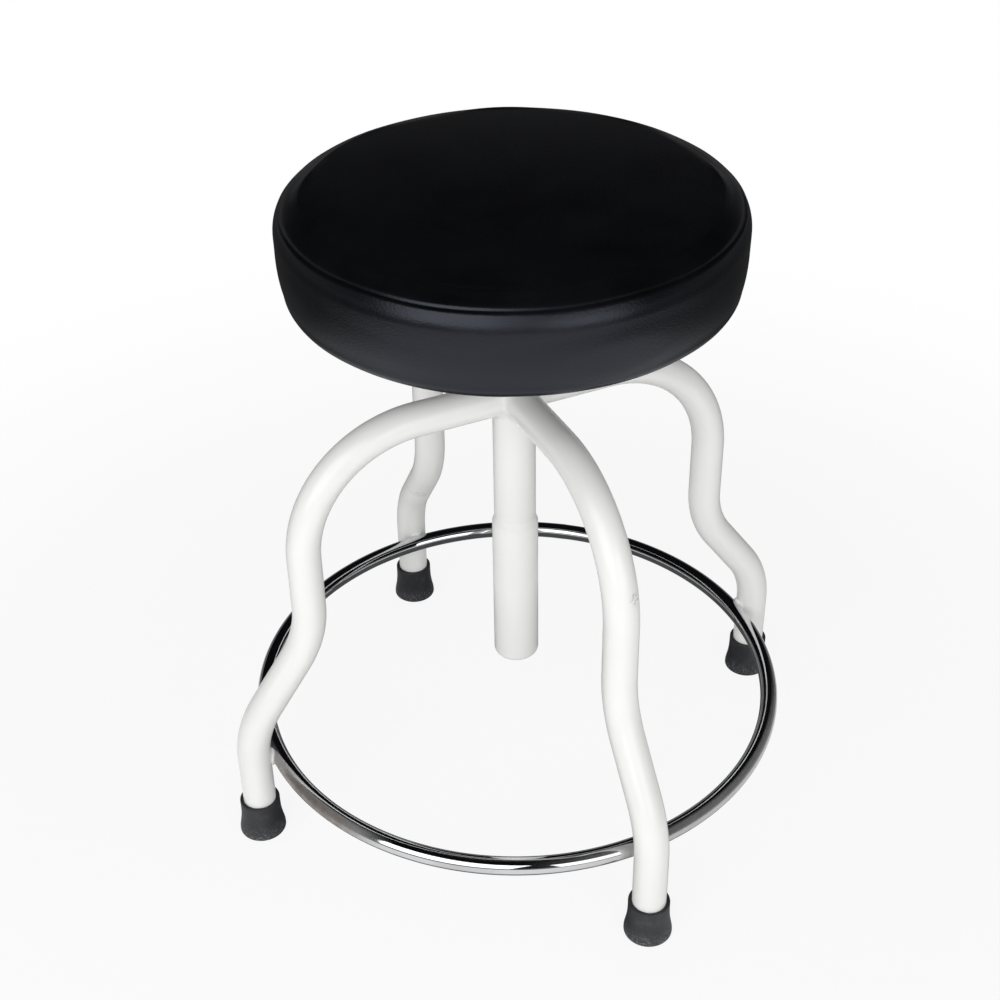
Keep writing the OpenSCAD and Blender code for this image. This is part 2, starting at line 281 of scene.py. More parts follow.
@dataclass(frozen=True)
class ChromePlate(Finish):
    """Chrome plated on polished bar."""

    # Painted reflection: brown spots on the ring's outer side stand in for a brown tint in what it reflects.
    painted_brown: str = "#6a615a"
    wear_and_painted_tint: tuple[Spot, ...] = (((-100.0, -184.0, 64.0), 84.0, 0.95), ((185.0, -70.0, 64.0), 175.0, 0.4))
    painted_brown_inside: float = 206.8
    haze: Cloud = Cloud(60.0, 4, 0.6, (0.52, 0.72), (0.0, 0.35))
    rub: Cloud = Cloud(7.0, 5, 0.65, (0.35, 0.65), (0.8, 1.0))

    def dress(self, tree: Tree, place: Socket) -> Feeds:
        """Makes a faint haze all round, and painted brown reflection spots on the outer side.

        Args:
            tree: The material's node tree.
            place: The object coordinates.

        Returns:
            What feeds the shader's inputs.
        """
        hazy, rubbed = self.haze.shown(tree, place), self.rub.shown(tree, place)
        # Painted reflection: the spots, broken by noise, tint only the outer side of the bar.
        where = add_spots(tree, place, self.wear_and_painted_tint)
        painted_brown_spots = add_node(tree, "Math", {0: rubbed, 1: where}, operation="MULTIPLY")
        flat = add_node(tree, "VectorMath", {0: place, 1: (1, 1, 0)}, operation="MULTIPLY")
        out = add_node(tree, "VectorMath", {0: flat}, operation="LENGTH")
        edge = {"From Min": (self.painted_brown_inside - 1) * MM, "From Max": (self.painted_brown_inside + 1) * MM}
        outside = add_node(tree, "MapRange", {"Value": out} | edge)
        painted_brown = add_node(tree, "Math", {0: painted_brown_spots, 1: outside}, operation="MULTIPLY")
        haze_and_painted_brown = add_node(tree, "Math", {0: hazy, 1: painted_brown}, operation="MAXIMUM")
        tint = add_node(tree, "Mix", {0: haze_and_painted_brown, 6: self.colour, 7: self.painted_brown}, data_type="RGBA")
        dulled = {"Value": haze_and_painted_brown, "To Min": self.roughness, "To Max": self.roughness + 0.25}
        gloss = add_node(tree, "MapRange", dulled)
        # Where the brown reflection is painted, the mirror gives way to a dull brown colour.
        bare = add_node(tree, "MapRange", {"Value": painted_brown, "To Min": self.metallic, "To Max": 0.15})
        return {"Base Color": tint, "Roughness": gloss, "Metallic": bare}


@dataclass(frozen=True)
class MouldedRubber(Finish):
    """Carbon-filled rubber from a mould."""

    speck: str = "#4b4c4f"
    dust: str = "#8f9092"
    grain: Cloud = Cloud(0.9, 2, 0.7, (0.58, 0.74), (0.0, 0.8))
    scuff: Cloud = Cloud(9.0, 4, 0.6, (0.5, 0.75), (0.0, 0.45))
    grit: Cloud = Cloud(1.0, 3, 0.7, (0.53, 0.66))
    dust_low: float = 2.0
    dust_high: float = 13.0
    grain_depth: float = 0.12

    def dress(self, tree: Tree, place: Socket) -> Feeds:
        """Makes specks, scuffs, dust near the floor and a fine matte grain.

        Args:
            tree: The material's node tree.
            place: The object coordinates.

        Returns:
            What feeds the shader's inputs.
        """
        specks, scuffs = self.grain.shown(tree, place), self.scuff.shown(tree, place)
        both = add_node(tree, "Math", {0: specks, 1: scuffs}, operation="MAXIMUM")
        wear_and_painted_tint = add_node(tree, "Mix", {0: both, 6: self.colour, 7: self.speck}, data_type="RGBA")
        height = add_node(tree, "SeparateXYZ", {0: place}).outputs["Z"]
        fall = {"From Min": self.dust_low * MM, "From Max": self.dust_high * MM, "To Min": 1.0, "To Max": 0.0}
        low = add_node(tree, "MapRange", {"Value": height} | fall)
        dusty = add_node(tree, "Math", {0: low, 1: self.grit.shown(tree, place)}, operation="MULTIPLY")
        colour = add_node(tree, "Mix", {0: dusty, 6: wear_and_painted_tint, 7: self.dust}, data_type="RGBA")
        grain = add_node(tree, "TexNoise", self.grain.feeds(place))
        relief = add_node(tree, "Bump", {"Height": grain, "Distance": self.grain_depth * MM, "Strength": 0.6})
        return {"Base Color": colour, "Normal": relief}


@dataclass(frozen=True)
class TurnedSteel(Finish):
    """Machined steel under a film of oil."""

    oil: str = "#7d7a72"
    gloss: Cloud = Cloud(14.0, 4, values=(0.32, 0.5))
    wet: Cloud = Cloud(14.0, 4, 0.5, (0.4, 0.75), (0.0, 0.4))
    feed: float = 0.7
    feed_depth: float = 0.01

    def dress(self, tree: Tree, place: Socket) -> Feeds:
        """Makes oily patches and the rings left by the tool.

        Args:
            tree: The material's node tree.
            place: The object coordinates.

        Returns:
            What feeds the shader's inputs.
        """
        wet = self.wet.shown(tree, place)
        colour = add_node(tree, "Mix", {0: wet, 6: self.colour, 7: self.oil}, data_type="RGBA")
        # The tool's feed is 0.35 mm a turn, drawn at 0.7 mm so that it shows.
        turned = {"Vector": place, "Scale": WAVE_SCALE / (self.feed * MM), "Distortion": 1.5}
        rings = add_node(tree, "TexWave", turned, wave_type="BANDS", bands_direction="Z").outputs["Fac"]
        relief = add_node(tree, "Bump", {"Height": rings, "Distance": self.feed_depth * MM, "Strength": 0.4})
        return {"Base Color": colour, "Normal": relief}


@dataclass(frozen=True)
class ZincPlate(Finish):
    """Zinc plated on pressed fasteners, and passivated."""

    tint: str = "#b9b493"
    gloss: Cloud = Cloud(5.0, 3, values=(0.24, 0.42))
    patch: Cloud = Cloud(5.0, 3, values=(0.0, 0.6))

    def dress(self, tree: Tree, place: Socket) -> Feeds:
        """Makes the passivation's clouds, and gives what feeds the shader."""
        tinted = {0: self.patch.shown(tree, place), 6: self.colour, 7: self.tint}
        return {"Base Color": add_node(tree, "Mix", tinted, data_type="RGBA")}


@dataclass(frozen=True)
class Nylon(Finish):
    """Natural nylon, turned."""

    wear: str = "#a9a79d"
    patch: Cloud = Cloud(6.0, 3, 0.5, (0.5, 0.75), (0.0, 0.5))

    def dress(self, tree: Tree, place: Socket) -> Feeds:
        """Makes running marks and a milky depth.

        Args:
            tree: The material's node tree.
            place: The object coordinates.

        Returns:
            What feeds the shader's inputs.
        """
        wear_and_painted_tint = self.patch.shown(tree, place)
        colour = add_node(tree, "Mix", {0: wear_and_painted_tint, 6: self.colour, 7: self.wear}, data_type="RGBA")
        milky = {"Subsurface Weight": 0.15, "Subsurface Radius": (0.002, 0.002, 0.0015)}
        return {"Base Color": colour, "Subsurface Scale": 1.0} | milky


@dataclass(frozen=True)
class BirchPly(Finish):
    """Birch plywood, rotary cut and left raw."""

    dark: str = "#a37d4f"
    streak: Cloud = Cloud(30.0, 5, 0.6, values=(0.0, 0.8))
    stretch: float = 9.0
    glue_gap: float = 3.0
    raised: float = 0.05

    def dress(self, tree: Tree, place: Socket) -> Feeds:
        """Makes the grain along +X and the glue lines.

        Args:
            tree: The material's node tree.
            place: The object coordinates.

        Returns:
            What feeds the shader's inputs.
        """
        drawn_out = add_node(tree, "Mapping", {"Vector": place, "Scale": (1.0, self.stretch, self.stretch)})
        streak = self.streak.shown(tree, drawn_out)
        # The veneers are 1.5 mm thick, and each second glue line is drawn, so that they show.
        plies = {"Vector": place, "Scale": WAVE_SCALE / (self.glue_gap * MM), "Distortion": 0.3}
        waves = add_node(tree, "TexWave", plies, wave_type="BANDS", bands_direction="Z").outputs["Fac"]
        glue = add_node(tree, "MapRange", {"Value": waves, "From Min": 0.8, "From Max": 1.0, "To Max": 0.6})
        both = add_node(tree, "Math", {0: streak, 1: glue}, operation="MAXIMUM")
        colour = add_node(tree, "Mix", {0: both, 6: self.colour, 7: self.dark}, data_type="RGBA")
        relief = add_node(tree, "Bump", {"Height": streak, "Distance": self.raised * MM, "Strength": 0.5})
        return {"Base Color": colour, "Normal": relief}


@dataclass(frozen=True)
class SpunLining(Finish):
    """Spunbond polypropylene cloth, with a grid of bonded dots."""

    fibre: str = "#2c2d31"
    dot: float = 1.6
    fluff: Cloud = Cloud(1.1, 4, 0.7, values=(0.0, 0.8))
    dot_depth: float = 0.15

    def dress(self, tree: Tree, place: Socket) -> Feeds:
        """Makes the bonded dots and loose fibre.

        Args:
            tree: The material's node tree.
            place: The object coordinates.

        Returns:
            What feeds the shader's inputs.
        """
        # The dots are about 0.8 mm apart, drawn at 1.6 mm so that they show.
        dots = {"Vector": place, "Scale": scale_for(self.dot), "Randomness": 0.25}
        cells = add_node(tree, "TexVoronoi", dots)
        loose = self.fluff.shown(tree, place)
        colour = add_node(tree, "Mix", {0: loose, 6: self.colour, 7: self.fibre}, data_type="RGBA")
        relief = add_node(tree, "Bump", {"Height": cells, "Distance": self.dot_depth * MM, "Strength": 0.7})
        return {"Base Color": colour, "Sheen Weight": 0.3, "Sheen Roughness": 0.6, "Normal": relief}


@dataclass(frozen=True)
class SoftFoam(Finish):
    """Polyurethane foam, cut from the block."""

    shade: str = "#b3a777"
    pore: float = 1.2
    pore_depth: float = 0.3

    def dress(self, tree: Tree, place: Socket) -> Feeds:
        """Makes the open cells, with painted shade in their middles.

        Args:
            tree: The material's node tree.
            place: The object coordinates.

        Returns:
            What feeds the shader's inputs.
        """
        cells = add_node(tree, "TexVoronoi", {"Vector": place, "Scale": scale_for(self.pore)})
        # Painted shade: each cell is drawn darker towards its middle, where the pore is deep.
        deep = add_node(tree, "MapRange", {"Value": cells, "From Max": 0.6, "To Min": 0.8, "To Max": 0.0})
        colour = add_node(tree, "Mix", {0: deep, 6: self.colour, 7: self.shade}, data_type="RGBA")
        relief = add_node(tree, "Bump", {"Height": cells, "Distance": self.pore_depth * MM, "Strength": 0.8})
        return {"Base Color": colour, "Normal": relief}


@dataclass(frozen=True)
class BlackVinyl(Finish):
    """Upholstery vinyl, calendered on cloth and embossed."""

    wear_and_painted_tint: str = "#0d0e11"
    shine: str = "#e2eaff"
    pebble: float = 1.3
    crease: Cloud = Cloud(2.6, 4, 0.6)
    gloss: Cloud = Cloud(45.0, 3, values=(0.31, 0.39))
    sat_on: Cloud = Cloud(45.0, 3)
    emboss: float = 0.14

    def dress(self, tree: Tree, place: Socket) -> Feeds:
        """Makes the embossed grain, and a colour that varies where it is sat on.

        Args:
            tree: The material's node tree.
            place: The object coordinates.

        Returns:
            What feeds the shader's inputs.
        """
        pebbles = {"Vector": place, "Scale": scale_for(self.pebble)}
        cells = add_node(tree, "TexVoronoi", pebbles, feature="SMOOTH_F1")
        creases = add_node(tree, "TexNoise", self.crease.feeds(place))
        grain = add_node(tree, "Math", {0: cells, 1: creases}, operation="ADD")
        polished = self.sat_on.shown(tree, place)
        colour = add_node(tree, "Mix", {0: polished, 6: self.colour, 7: self.wear_and_painted_tint}, data_type="RGBA")
        relief = add_node(tree, "Bump", {"Height": grain, "Distance": self.emboss * MM, "Strength": 0.5})
        return {"Base Color": colour, "Specular Tint": self.shine, "Normal": relief}


# Polyester powder sprayed on and baked: an even white, a hard gloss, and a faint orange peel in it.
WHITE_COAT = PowderCoat("gloss_white_powder_coat", Slot.PAINT, "#f4f4f2", 0.2)
# Nickel and chrome plated on polished bar: a cold mirror of floor and dark room, faintly hazy, with painted
# brown reflection on its outer side.
CHROME = ChromePlate("bright_chrome_plate", Slot.CHROME, "#d6d7d9", 0.05, 1.0)
# Carbon-filled rubber from a blasted mould: charcoal without gloss, its grain light with dust.
RUBBER = MouldedRubber("moulded_charcoal_rubber", Slot.RUBBER, "#26272a", 0.62, 0.0, 1.52)
# Mild steel off the lathe, wiped with oil: soft grey metal with rings and darker wet patches.
STEEL = TurnedSteel("oiled_turned_steel", Slot.STEEL, "#a3a6aa", 0.4, 1.0)
# Barrel-plated zinc: brighter and cloudier than the steel, with a hint of yellow.
ZINC = ZincPlate("bright_zinc_plate", Slot.ZINC, "#b5bac0", 0.3, 1.0)
# Cast nylon, turned: milky white that lets a little light in, grey where it has run.
NYLON = Nylon("natural_nylon", Slot.PLASTIC, "#dcdcd3", 0.38, 0.0, 1.53)
# Rotary-cut birch veneers glued crosswise: pale wood with long streaks, striped at its edge.
PLY = BirchPly("raw_birch_plywood", Slot.PLYWOOD, "#c9a877", 0.62)
# Melt-spun fibres bonded in dots: a flat black cloth with a soft bloom at grazing angles.
LINING = SpunLining("black_spunbond_lining", Slot.LINING, "#131316", 0.9)
# Slabstock foam cut with a wire: cream and dull, open cells all over, their pores painted darker as shade.
FOAM = SoftFoam("cut_polyurethane_foam", Slot.FOAM, "#d8cfa8", 0.95)
# PVC calendered on knit and embossed: near black, satin, with a fine pebble that breaks the sheen.
VINYL = BlackVinyl("black_upholstery_vinyl", Slot.VINYL, "#070708", 0.34, 0.0, 1.5)


# ---------------------------------------------------------------- modelling


def turns(count: int) -> list[float]:
    """Even turns round the axis, in radians."""
    return [math.tau * i / count for i in range(count)]


def wave(turn: float, parts: Waves) -> float:
    """The sum of waves round the axis, each with its height, its count in a turn and its phase."""
    return sum(height * math.sin(count * turn + phase) for height, count, phase in parts)


def arc(
    x: float, z: float, radius: float, start: float, stop: float, steps: int
) -> list[Span]:
    """Points of an arc round (x, z), from one angle in degrees to another, both ends included."""
    angles = [math.radians(start + (stop - start) * i / steps) for i in range(steps + 1)]
    return [(x + radius * math.cos(a), z + radius * math.sin(a)) for a in angles]


def slab(inner: float, outer: float, low: float, high: float, edge: float = 0.4) -> Outline:
    """The closed outline of a flat ring with rounded outer edges, or of a disc where inner is 0."""
    side = arc(outer - edge, low + edge, edge, -90, 0, 3) + arc(outer - edge, high - edge, edge, 0, 90, 3)
    return [(inner, low)] + side + [(inner, high)] + ([(inner, low)] if inner else [])


class Bench:
    """One mesh on the bench, worked in edit mode as by hand."""

    def __init__(self, piece: bpy.types.Object) -> None:
        """Takes a piece to work on."""
        self.piece = piece

    @staticmethod
    def clear() -> None:
        """Leaves edit mode and deselects everything."""
        if bpy.context.object and bpy.context.object.mode != "OBJECT":
            bpy.ops.object.mode_set(mode="OBJECT")
        bpy.ops.object.select_all(action="DESELECT")

    @classmethod
    def start(cls, name: str) -> "Bench":
        """Takes the primitive that was just added, and opens it in edit mode.

        Args:
            name: The piece's name.

        Returns:
            The bench with all of the primitive selected.
        """
        bench = cls(bpy.context.object)
        bench.piece.name = bench.piece.data.name = name
        bpy.ops.object.transform_apply(location=True, rotation=True, scale=True)
        return bench.open()

    @classmethod
    def ring(cls, name: str, radius: float, centre: Place, sides: int, tilt: Place = (0, 0, 0)) -> "Bench":
        """Starts from a bare circle.

        Args:
            name: The piece's name.
            radius: The circle's radius.
            centre: Its centre.
            sides: How many edges it has.
            tilt: Its turn about X, Y and Z in degrees, from lying flat.

        Returns:
            The bench with the circle selected.
        """
        cls.clear()
        bpy.ops.mesh.primitive_circle_add(
            vertices=sides,
            radius=radius * MM,
            location=Vector(centre) * MM,
            rotation=[math.radians(a) for a in tilt],
        )
        return cls.start(name)

    @classmethod
    def rod(cls, name: str, across: float, foot: Place, height: float, sides: int) -> "Bench":
        """Draws a circle up into a closed rod, from the middle of its lower end."""
        return cls.ring(name, across / 2, foot, sides).fill_and_draw((0, 0, height))

    @classmethod
    def block(cls, name: str, size: Place, centre: Place) -> "Bench":
        """Starts from a box.

        Args:
            name: The piece's name.
            size: Its length along X, Y and Z.
            centre: Its middle.

        Returns:
            The bench, out of edit mode.
        """
        cls.clear()
        bpy.ops.mesh.primitive_cube_add(size=1, location=Vector(centre) * MM, scale=Vector(size) * MM)
        return cls.start(name).close()

    @classmethod
    def drawn(cls, name: str, outline: Outline) -> "Bench":
        """Draws an outline point by point in the upright plane through +X.

        Args:
            name: The piece's name.
            outline: Radius and height of each point.

        Returns:
            The bench with the last point selected.
        """
        cls.clear()
        x, z = outline[0]
        bpy.ops.mesh.primitive_plane_add(size=MM, location=(x * MM, 0, z * MM))
        bench = cls.start(name)
        bpy.ops.mesh.merge(type="CENTER")
        for (x0, z0), (x1, z1) in zip(outline, outline[1:]):
            step = Vector((x1 - x0, 0, z1 - z0)) * MM
            bpy.ops.mesh.extrude_vertices_move(TRANSFORM_OT_translate={"value": step})
        return bench

    @classmethod
    def turned(cls, name: str, outline: Outline, steps: int = 96) -> "Bench":
        """Draws an outline and spins it round the upright axis.

        Args:
            name: The piece's name.
            outline: Radius and height of each point.
            steps: How many chords the turn has.

        Returns:
            The bench with the closed mesh selected.
        """
        bench = cls.drawn(name, outline)
        bpy.ops.mesh.select_all(action="SELECT")
        bpy.ops.mesh.spin(steps=steps, angle=math.tau, center=(0, 0, 0), axis=(0, 0, 1))
        return bench.heal()

    @classmethod
    def bead(cls, name: str, points: Sequence[Vector], widths: Sequence[float], sides: int = 3) -> "Bench":
        """Lays a closed weld bead along points, as a bevelled curve that is turned into a mesh.

        Args:
            name: The piece's name.
            points: The bead's centre line.
            widths: The bead's radius at each point.
            sides: Bevel resolution of the section.

        Returns:
            The bench with the bead, out of edit mode.
        """
        bench = cls.ring(name, ANY_RADIUS, (0, 0, 0), len(points)).place(points).close()
        bpy.ops.object.convert(target="CURVE")
        curve = bench.piece.data
        curve.bevel_depth = MM
        curve.bevel_resolution = sides
        for spline_point in curve.splines[0].points:
            nearest = min(range(len(points)), key=lambda i: (points[i] * MM - spline_point.co.xyz).length)
            spline_point.radius = widths[nearest]
        bpy.ops.object.convert(target="MESH")
        bench.piece.data.name = name
        return bench.open().heal().close()

    def take(self) -> "Bench":
        """Picks the piece up alone, out of edit mode.

        Returns:
            The bench.
        """
        self.clear()
        self.piece.select_set(True)
        bpy.context.view_layer.objects.active = self.piece
        return self

    def open(self) -> "Bench":
        """Opens the active piece in edit mode.

        Returns:
            The bench with all of the piece selected.
        """
        bpy.ops.object.mode_set(mode="EDIT")
        bpy.ops.mesh.select_all(action="SELECT")
        return self

    def close(self) -> "Bench":
        """Leaves edit mode."""
        bpy.ops.object.mode_set(mode="OBJECT")
        return self

    def fill_and_draw(self, step: Place) -> "Bench":
        """Fills the selected outline and draws it along a step into a solid.

        Args:
            step: The way to the far end.

        Returns:
            The bench, out of edit mode.
        """
        bpy.ops.mesh.edge_face_add()
        bpy.ops.mesh.extrude_region_move(TRANSFORM_OT_translate={"value": Vector(step) * MM})
        return self.heal().close()

    def extrude(self, step: Place) -> "Bench":
        """Draws the selected edges out along a step."""
        bpy.ops.mesh.extrude_edges_move(TRANSFORM_OT_translate={"value": Vector(step) * MM})
        return self

    def bend(self, centre: Place, degrees: float, steps: int) -> "Bench":
        """Draws the selected edges round an axis along +Y.

        Args:
            centre: A point on the axis.
            degrees: The bend, positive from +Z towards +X.
            steps: How many chords it has.

        Returns:
            The bench with the far end selected.
        """
        angle = -math.radians(degrees)
        bpy.ops.mesh.spin(steps=steps, angle=angle, center=Vector(centre) * MM, axis=(0, 1, 0))
        return self

    def heal(self) -> "Bench":
        """Merges doubles and turns all faces outwards.

        Returns:
            The bench with all of the piece selected.
        """
        bpy.ops.mesh.select_all(action="SELECT")
        bpy.ops.mesh.remove_doubles(threshold=1e-6)
        bpy.ops.mesh.normals_make_consistent(inside=False)
        return self

    def place(self, points: Sequence[Vector]) -> "Bench":
        """Puts the vertices at these points, in order.

        Args:
            points: A place for each vertex.

        Returns:
            The bench.
        """
        mesh = bmesh.from_edit_mesh(self.piece.data)
        for vertex, point in zip(mesh.verts, points):
            vertex.co = point * MM
        bmesh.update_edit_mesh(self.piece.data)
        return self

    def shift(self, move: Callable[[Vector, Vector], Vector]) -> "Bench":
        """Moves each vertex to where a rule puts it.

        Args:
            move: The rule, from the vertex's place and its normal to its new place.

        Returns:
            The bench.
        """
        mesh = bmesh.from_edit_mesh(self.piece.data)
        mesh.normal_update()
        for vertex, place in [(v, move(v.co / MM, v.normal)) for v in mesh.verts]:
            vertex.co = place * MM
        bmesh.update_edit_mesh(self.piece.data)
        return self

    def modify(self, kind: str, **settings: object) -> "Bench":
        """Adds a modifier and applies it.

        Args:
            kind: The modifier's type.
            **settings: Its settings.

        Returns:
            The bench, out of edit mode.
        """
        self.take()
        modifier = self.piece.modifiers.new(kind.title(), kind)
        for key, value in settings.items():
            setattr(modifier, key, value)
        bpy.ops.object.modifier_apply(modifier=modifier.name)
        return self

    def break_edges(self, width: float, angle: float) -> "Bench":
        """Bevels the edges that are sharper than an angle in degrees."""
        limit = math.radians(angle)
        return self.modify("BEVEL", width=width * MM, segments=2, limit_method="ANGLE", angle_limit=limit)

    def cut(self, cutter: "Bench", operation: str = "DIFFERENCE") -> "Bench":
        """Cuts this piece with another, which is used up.

        Args:
            cutter: The other piece.
            operation: DIFFERENCE, or UNION to join the two.

        Returns:
            The bench, out of edit mode.
        """
        self.modify("BOOLEAN", object=cutter.piece, operation=operation, solver="EXACT")
        cutter.discard()
        return self

    def discard(self) -> None:
        """Throws the piece away."""
        bpy.data.objects.remove(self.piece, do_unlink=True)

    def copy(self, name: str, matrix: Matrix) -> "Bench":
        """A copy with its own mesh.

        Args:
            name: The copy's name.
            matrix: Where it goes, in metres.

        Returns:
            The bench with the copy, out of edit mode.
        """
        twin = self.piece.copy()
        twin.data = self.piece.data.copy()
        twin.data.transform(matrix)
        twin.name = twin.data.name = name
        bpy.context.collection.objects.link(twin)
        return Bench(twin)

    def hand_over(
        self, finish: Finish, body: Body, replaces: Sequence[str] = (), angle: float = 40
    ) -> bpy.types.Object:
        """Smooths, dresses and mounts the finished piece.

        Args:
            finish: Its finish.
            body: The body that it rides on.
            replaces: The CAD nodes that it stands for.
            angle: Edges sharper than this many degrees stay sharp.

        Returns:
            The piece.
        """
        self.take()
        bpy.ops.object.shade_smooth_by_angle(angle=math.radians(angle))
        self.piece.data.materials.clear()
        self.piece.data.materials.append(finish.material())
        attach(self.piece, body.value)
        if replaces:
            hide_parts(*replaces)
        log.info("%s: %d faces, %s", self.piece.name, len(self.piece.data.polygons), finish.name)
        return self.piece


# ------------------------------------------------------------------- stand


@dataclass
class Legs:
    """Four bent tubes, coped to the hub and mitred against each other."""

    tube: float = 25.4
    wall: float = 1.5
    arm: float = 342.0  # height of the arms' middle
    drop: float = 169.0  # from the spindle to the upright
    foot: float = 224.5  # from the spindle to the foot
    shoulder: float = 92.5  # bend from arm to upright
    kick: float = 78.0  # both bends of the kick-out
    kick_angle: float = 36.0
    kick_top: float = 203.5  # where the kick-out starts
    end: float = 7.5  # the lower end, in the rubber foot
    hub: float = 31.8
    sides: int = 64
    stub: float = 2.0  # where the tube starts, before it is coped
    # Shares of the slant between its loops, which lie close where the pinch comes.
    slant_loops: tuple[float, ...] = (0.38, 0.04, 0.04, 0.04, 0.04, 0.46)
    cope_reach: float = 200.0
    cope_height: float = 80.0
    pinch_depth: float = 0.55
    pinch_width: float = 1.5
    pinch_side: Place = (0.45, -0.85, -0.2)  # the way that the pinched side faces
    grown_arm: float = 54.0  # how much of each arm and of the post is grown together
    grown_post: float = 44.0
    grown_below: float = 28.0  # from the arms' middle down to the post's start
    voxel: float = 0.9
    grind: int = 130  # smoothing passes, which fill the corners
    measured: Span = (30.0, 34.0)  # between these radii the crowns are measured
    lap: float = 0.03  # how proud of the tubes the welds' paint lies
    lap_sunk: float = 0.09  # how much lower it is past its end
    lap_end: float = 36.0
    lap_fade: float = 10.0
    lap_below: float = 16.0
    lap_below_fade: float = 8.0
    fill_soft: float = 0.15  # how softly the filling of a corner starts
    inside: float = 0.6  # points deeper than this stay where they are
    bore_less: float = 1.2  # how much narrower than the hub the bore is

    @property
    def slant(self) -> float:
        """Length of the straight between the kick-out bend and the knee."""
        angle = math.radians(self.kick_angle)
        return (self.foot - self.drop - 2 * self.kick * (1 - math.cos(angle))) / math.sin(angle)

    def tube_run(self, name: str) -> Bench:
        """Draws the tube from the hub to the foot along +X.

        Args:
            name: The piece's name.

        Returns:
            The closed tube with its wall.
        """
        angle = math.radians(self.kick_angle)
        knee = self.kick_top - 2 * self.kick * math.sin(angle) - self.slant * math.cos(angle)
        bench = Bench.ring(name, self.tube / 2, (self.stub, 0, self.arm), self.sides, (0, 90, 0))
        bench.extrude((self.hub, 0, 0))
        bench.extrude((self.drop - self.shoulder - self.hub - self.stub, 0, 0))
        bench.bend((self.drop - self.shoulder, 0, self.arm - self.shoulder), 90, 30)
        bench.extrude((0, 0, self.kick_top - self.arm + self.shoulder))
        bench.bend((self.drop + self.kick, 0, self.kick_top), -self.kick_angle, 14)
        for share in self.slant_loops:
            bench.extrude((share * self.slant * math.sin(angle), 0, -share * self.slant * math.cos(angle)))
        bench.bend((self.foot - self.kick, 0, knee), self.kick_angle, 14)
        bench.extrude((0, 0, self.end - knee))
        bench.heal()
        bench.modify("SOLIDIFY", thickness=self.wall * MM, offset=-1, use_even_offset=True)
        return bench.cut(self.cope())

    def cope(self) -> Bench:
        """The space of the hub and of the neighbouring legs.

        Returns:
            The cutter.
        """
        far, low = self.cope_reach, self.arm - self.cope_height / 2
        outline = [(0, 0), (far, far), (-far, far), (-far, -far), (far, -far)]
        cutter = Bench.ring("cope", ANY_RADIUS, (0, 0, low), len(outline))
        cutter.place([Vector((x, y, low)) for x, y in outline]).fill_and_draw((0, 0, self.cope_height))
        return cutter.cut(Bench.rod("hub_cope", self.hub, (0, 0, low), self.cope_height, 96), "UNION")

    def pinch(self, v: Vector, n: Vector) -> Vector:
        """The crease that bending left across the back left leg, on its side towards the middle.

        Args:
            v: A point of the leg.
            n: Its normal.

        Returns:
            The point, sunk where the crease is.
        """
        angle = math.radians(self.kick_angle)
        fall = self.kick * math.sin(angle) + self.slant * math.cos(angle) / 2
        middle = Vector(((self.foot + self.drop) / 2, 0, self.kick_top - fall))
        way = Vector((math.sin(angle), 0, -math.cos(angle)))
        turn = Corner.BACK_LEFT.turn
        along = (v - turn @ middle).dot(turn @ way)
        side = max(0.0, n.dot(Vector(self.pinch_side).normalized()))
        return v - n * self.pinch_depth * side * math.exp(-((along / self.pinch_width) ** 2))

    def beyond(self, v: Vector) -> float:
        """How far a point lies outside the hub and the arms.

        Args:
            v: The point.

        Returns:
            The distance, below 0 inside them.
        """
        depths = [v.xy.length - self.hub / 2]
        for corner in Corner:
            turned = corner.turn.inverted() @ v
            if turned.x > 0:
                depths.append(math.hypot(turned.y, turned.z - self.arm) - self.tube / 2)
        return min(depths)

    def junction(self) -> Bench:
        """The painted-over welds at the hub: post and arms grown together, with their corners filled.

        Returns:
            The smoothed body: a hair over the tubes near the hub, and inside them further out.
        """
        foot = (0, 0, self.arm - self.grown_below)
        post = Bench.rod("hub_weld_fillet", self.hub, foot, self.grown_post, 128)
        for corner in Corner:
            arm = Bench.ring("arm", self.tube / 2, (0, 0, self.arm), self.sides, (0, 90, 0))
            arm.fill_and_draw((self.grown_arm, 0, 0)).piece.data.transform(corner.turn)
            post.cut(arm, "UNION")
        post.modify("REMESH", mode="VOXEL", voxel_size=self.voxel * MM)
        post.modify("SMOOTH", factor=0.5, iterations=self.grind)
        # Smoothing thins the arms: their crowns, well out of the corners, tell by how much.
        near, far = self.measured
        crowns = [v.co.z / MM for v in post.piece.data.vertices if near < v.co.xy.length / MM < far]
        sunk = self.arm + self.tube / 2 - max(crowns)

        def settle(v: Vector, n: Vector) -> Vector:
            """Puts a point a hair over the tubes, or under them past the weld, and keeps filled corners.

            Args:
                v: The point.
                n: Its normal.

            Returns:
                Its new place.
            """
            depth = self.beyond(v)
            if depth < -sunk - self.inside:
                return v
            filled = max(0.0, depth + sunk)
            beside = (v.xy.length - self.lap_end) / self.lap_fade
            below = (self.arm - self.lap_below - v.z) / self.lap_below_fade
            past = min(max(beside, below, 0.0), 1.0)
            over = self.lap - self.lap_sunk * past
            return v + n * (over + filled**2 / (filled + self.fill_soft) - depth)

        post.take().open().shift(settle).close()
        low = self.arm - self.cope_height / 2
        return post.cut(Bench.rod("bore", self.hub - self.bore_less, (0, 0, low), self.cope_height, 128))

    def build(self) -> None:
        """Makes the four legs and the welds that join them to the hub."""
        leg = self.tube_run("leg")
        for corner in Corner:
            made = leg.copy(f"leg_tube_{corner.tag}", corner.turn)
            if corner is Corner.BACK_LEFT:
                made.take().open().shift(self.pinch).close()
            made.hand_over(WHITE_COAT, Body.STAND, [f"leg_{corner.tag}"], 30)
        leg.discard()
        self.junction().hand_over(WHITE_COAT, Body.STAND, (), 60)


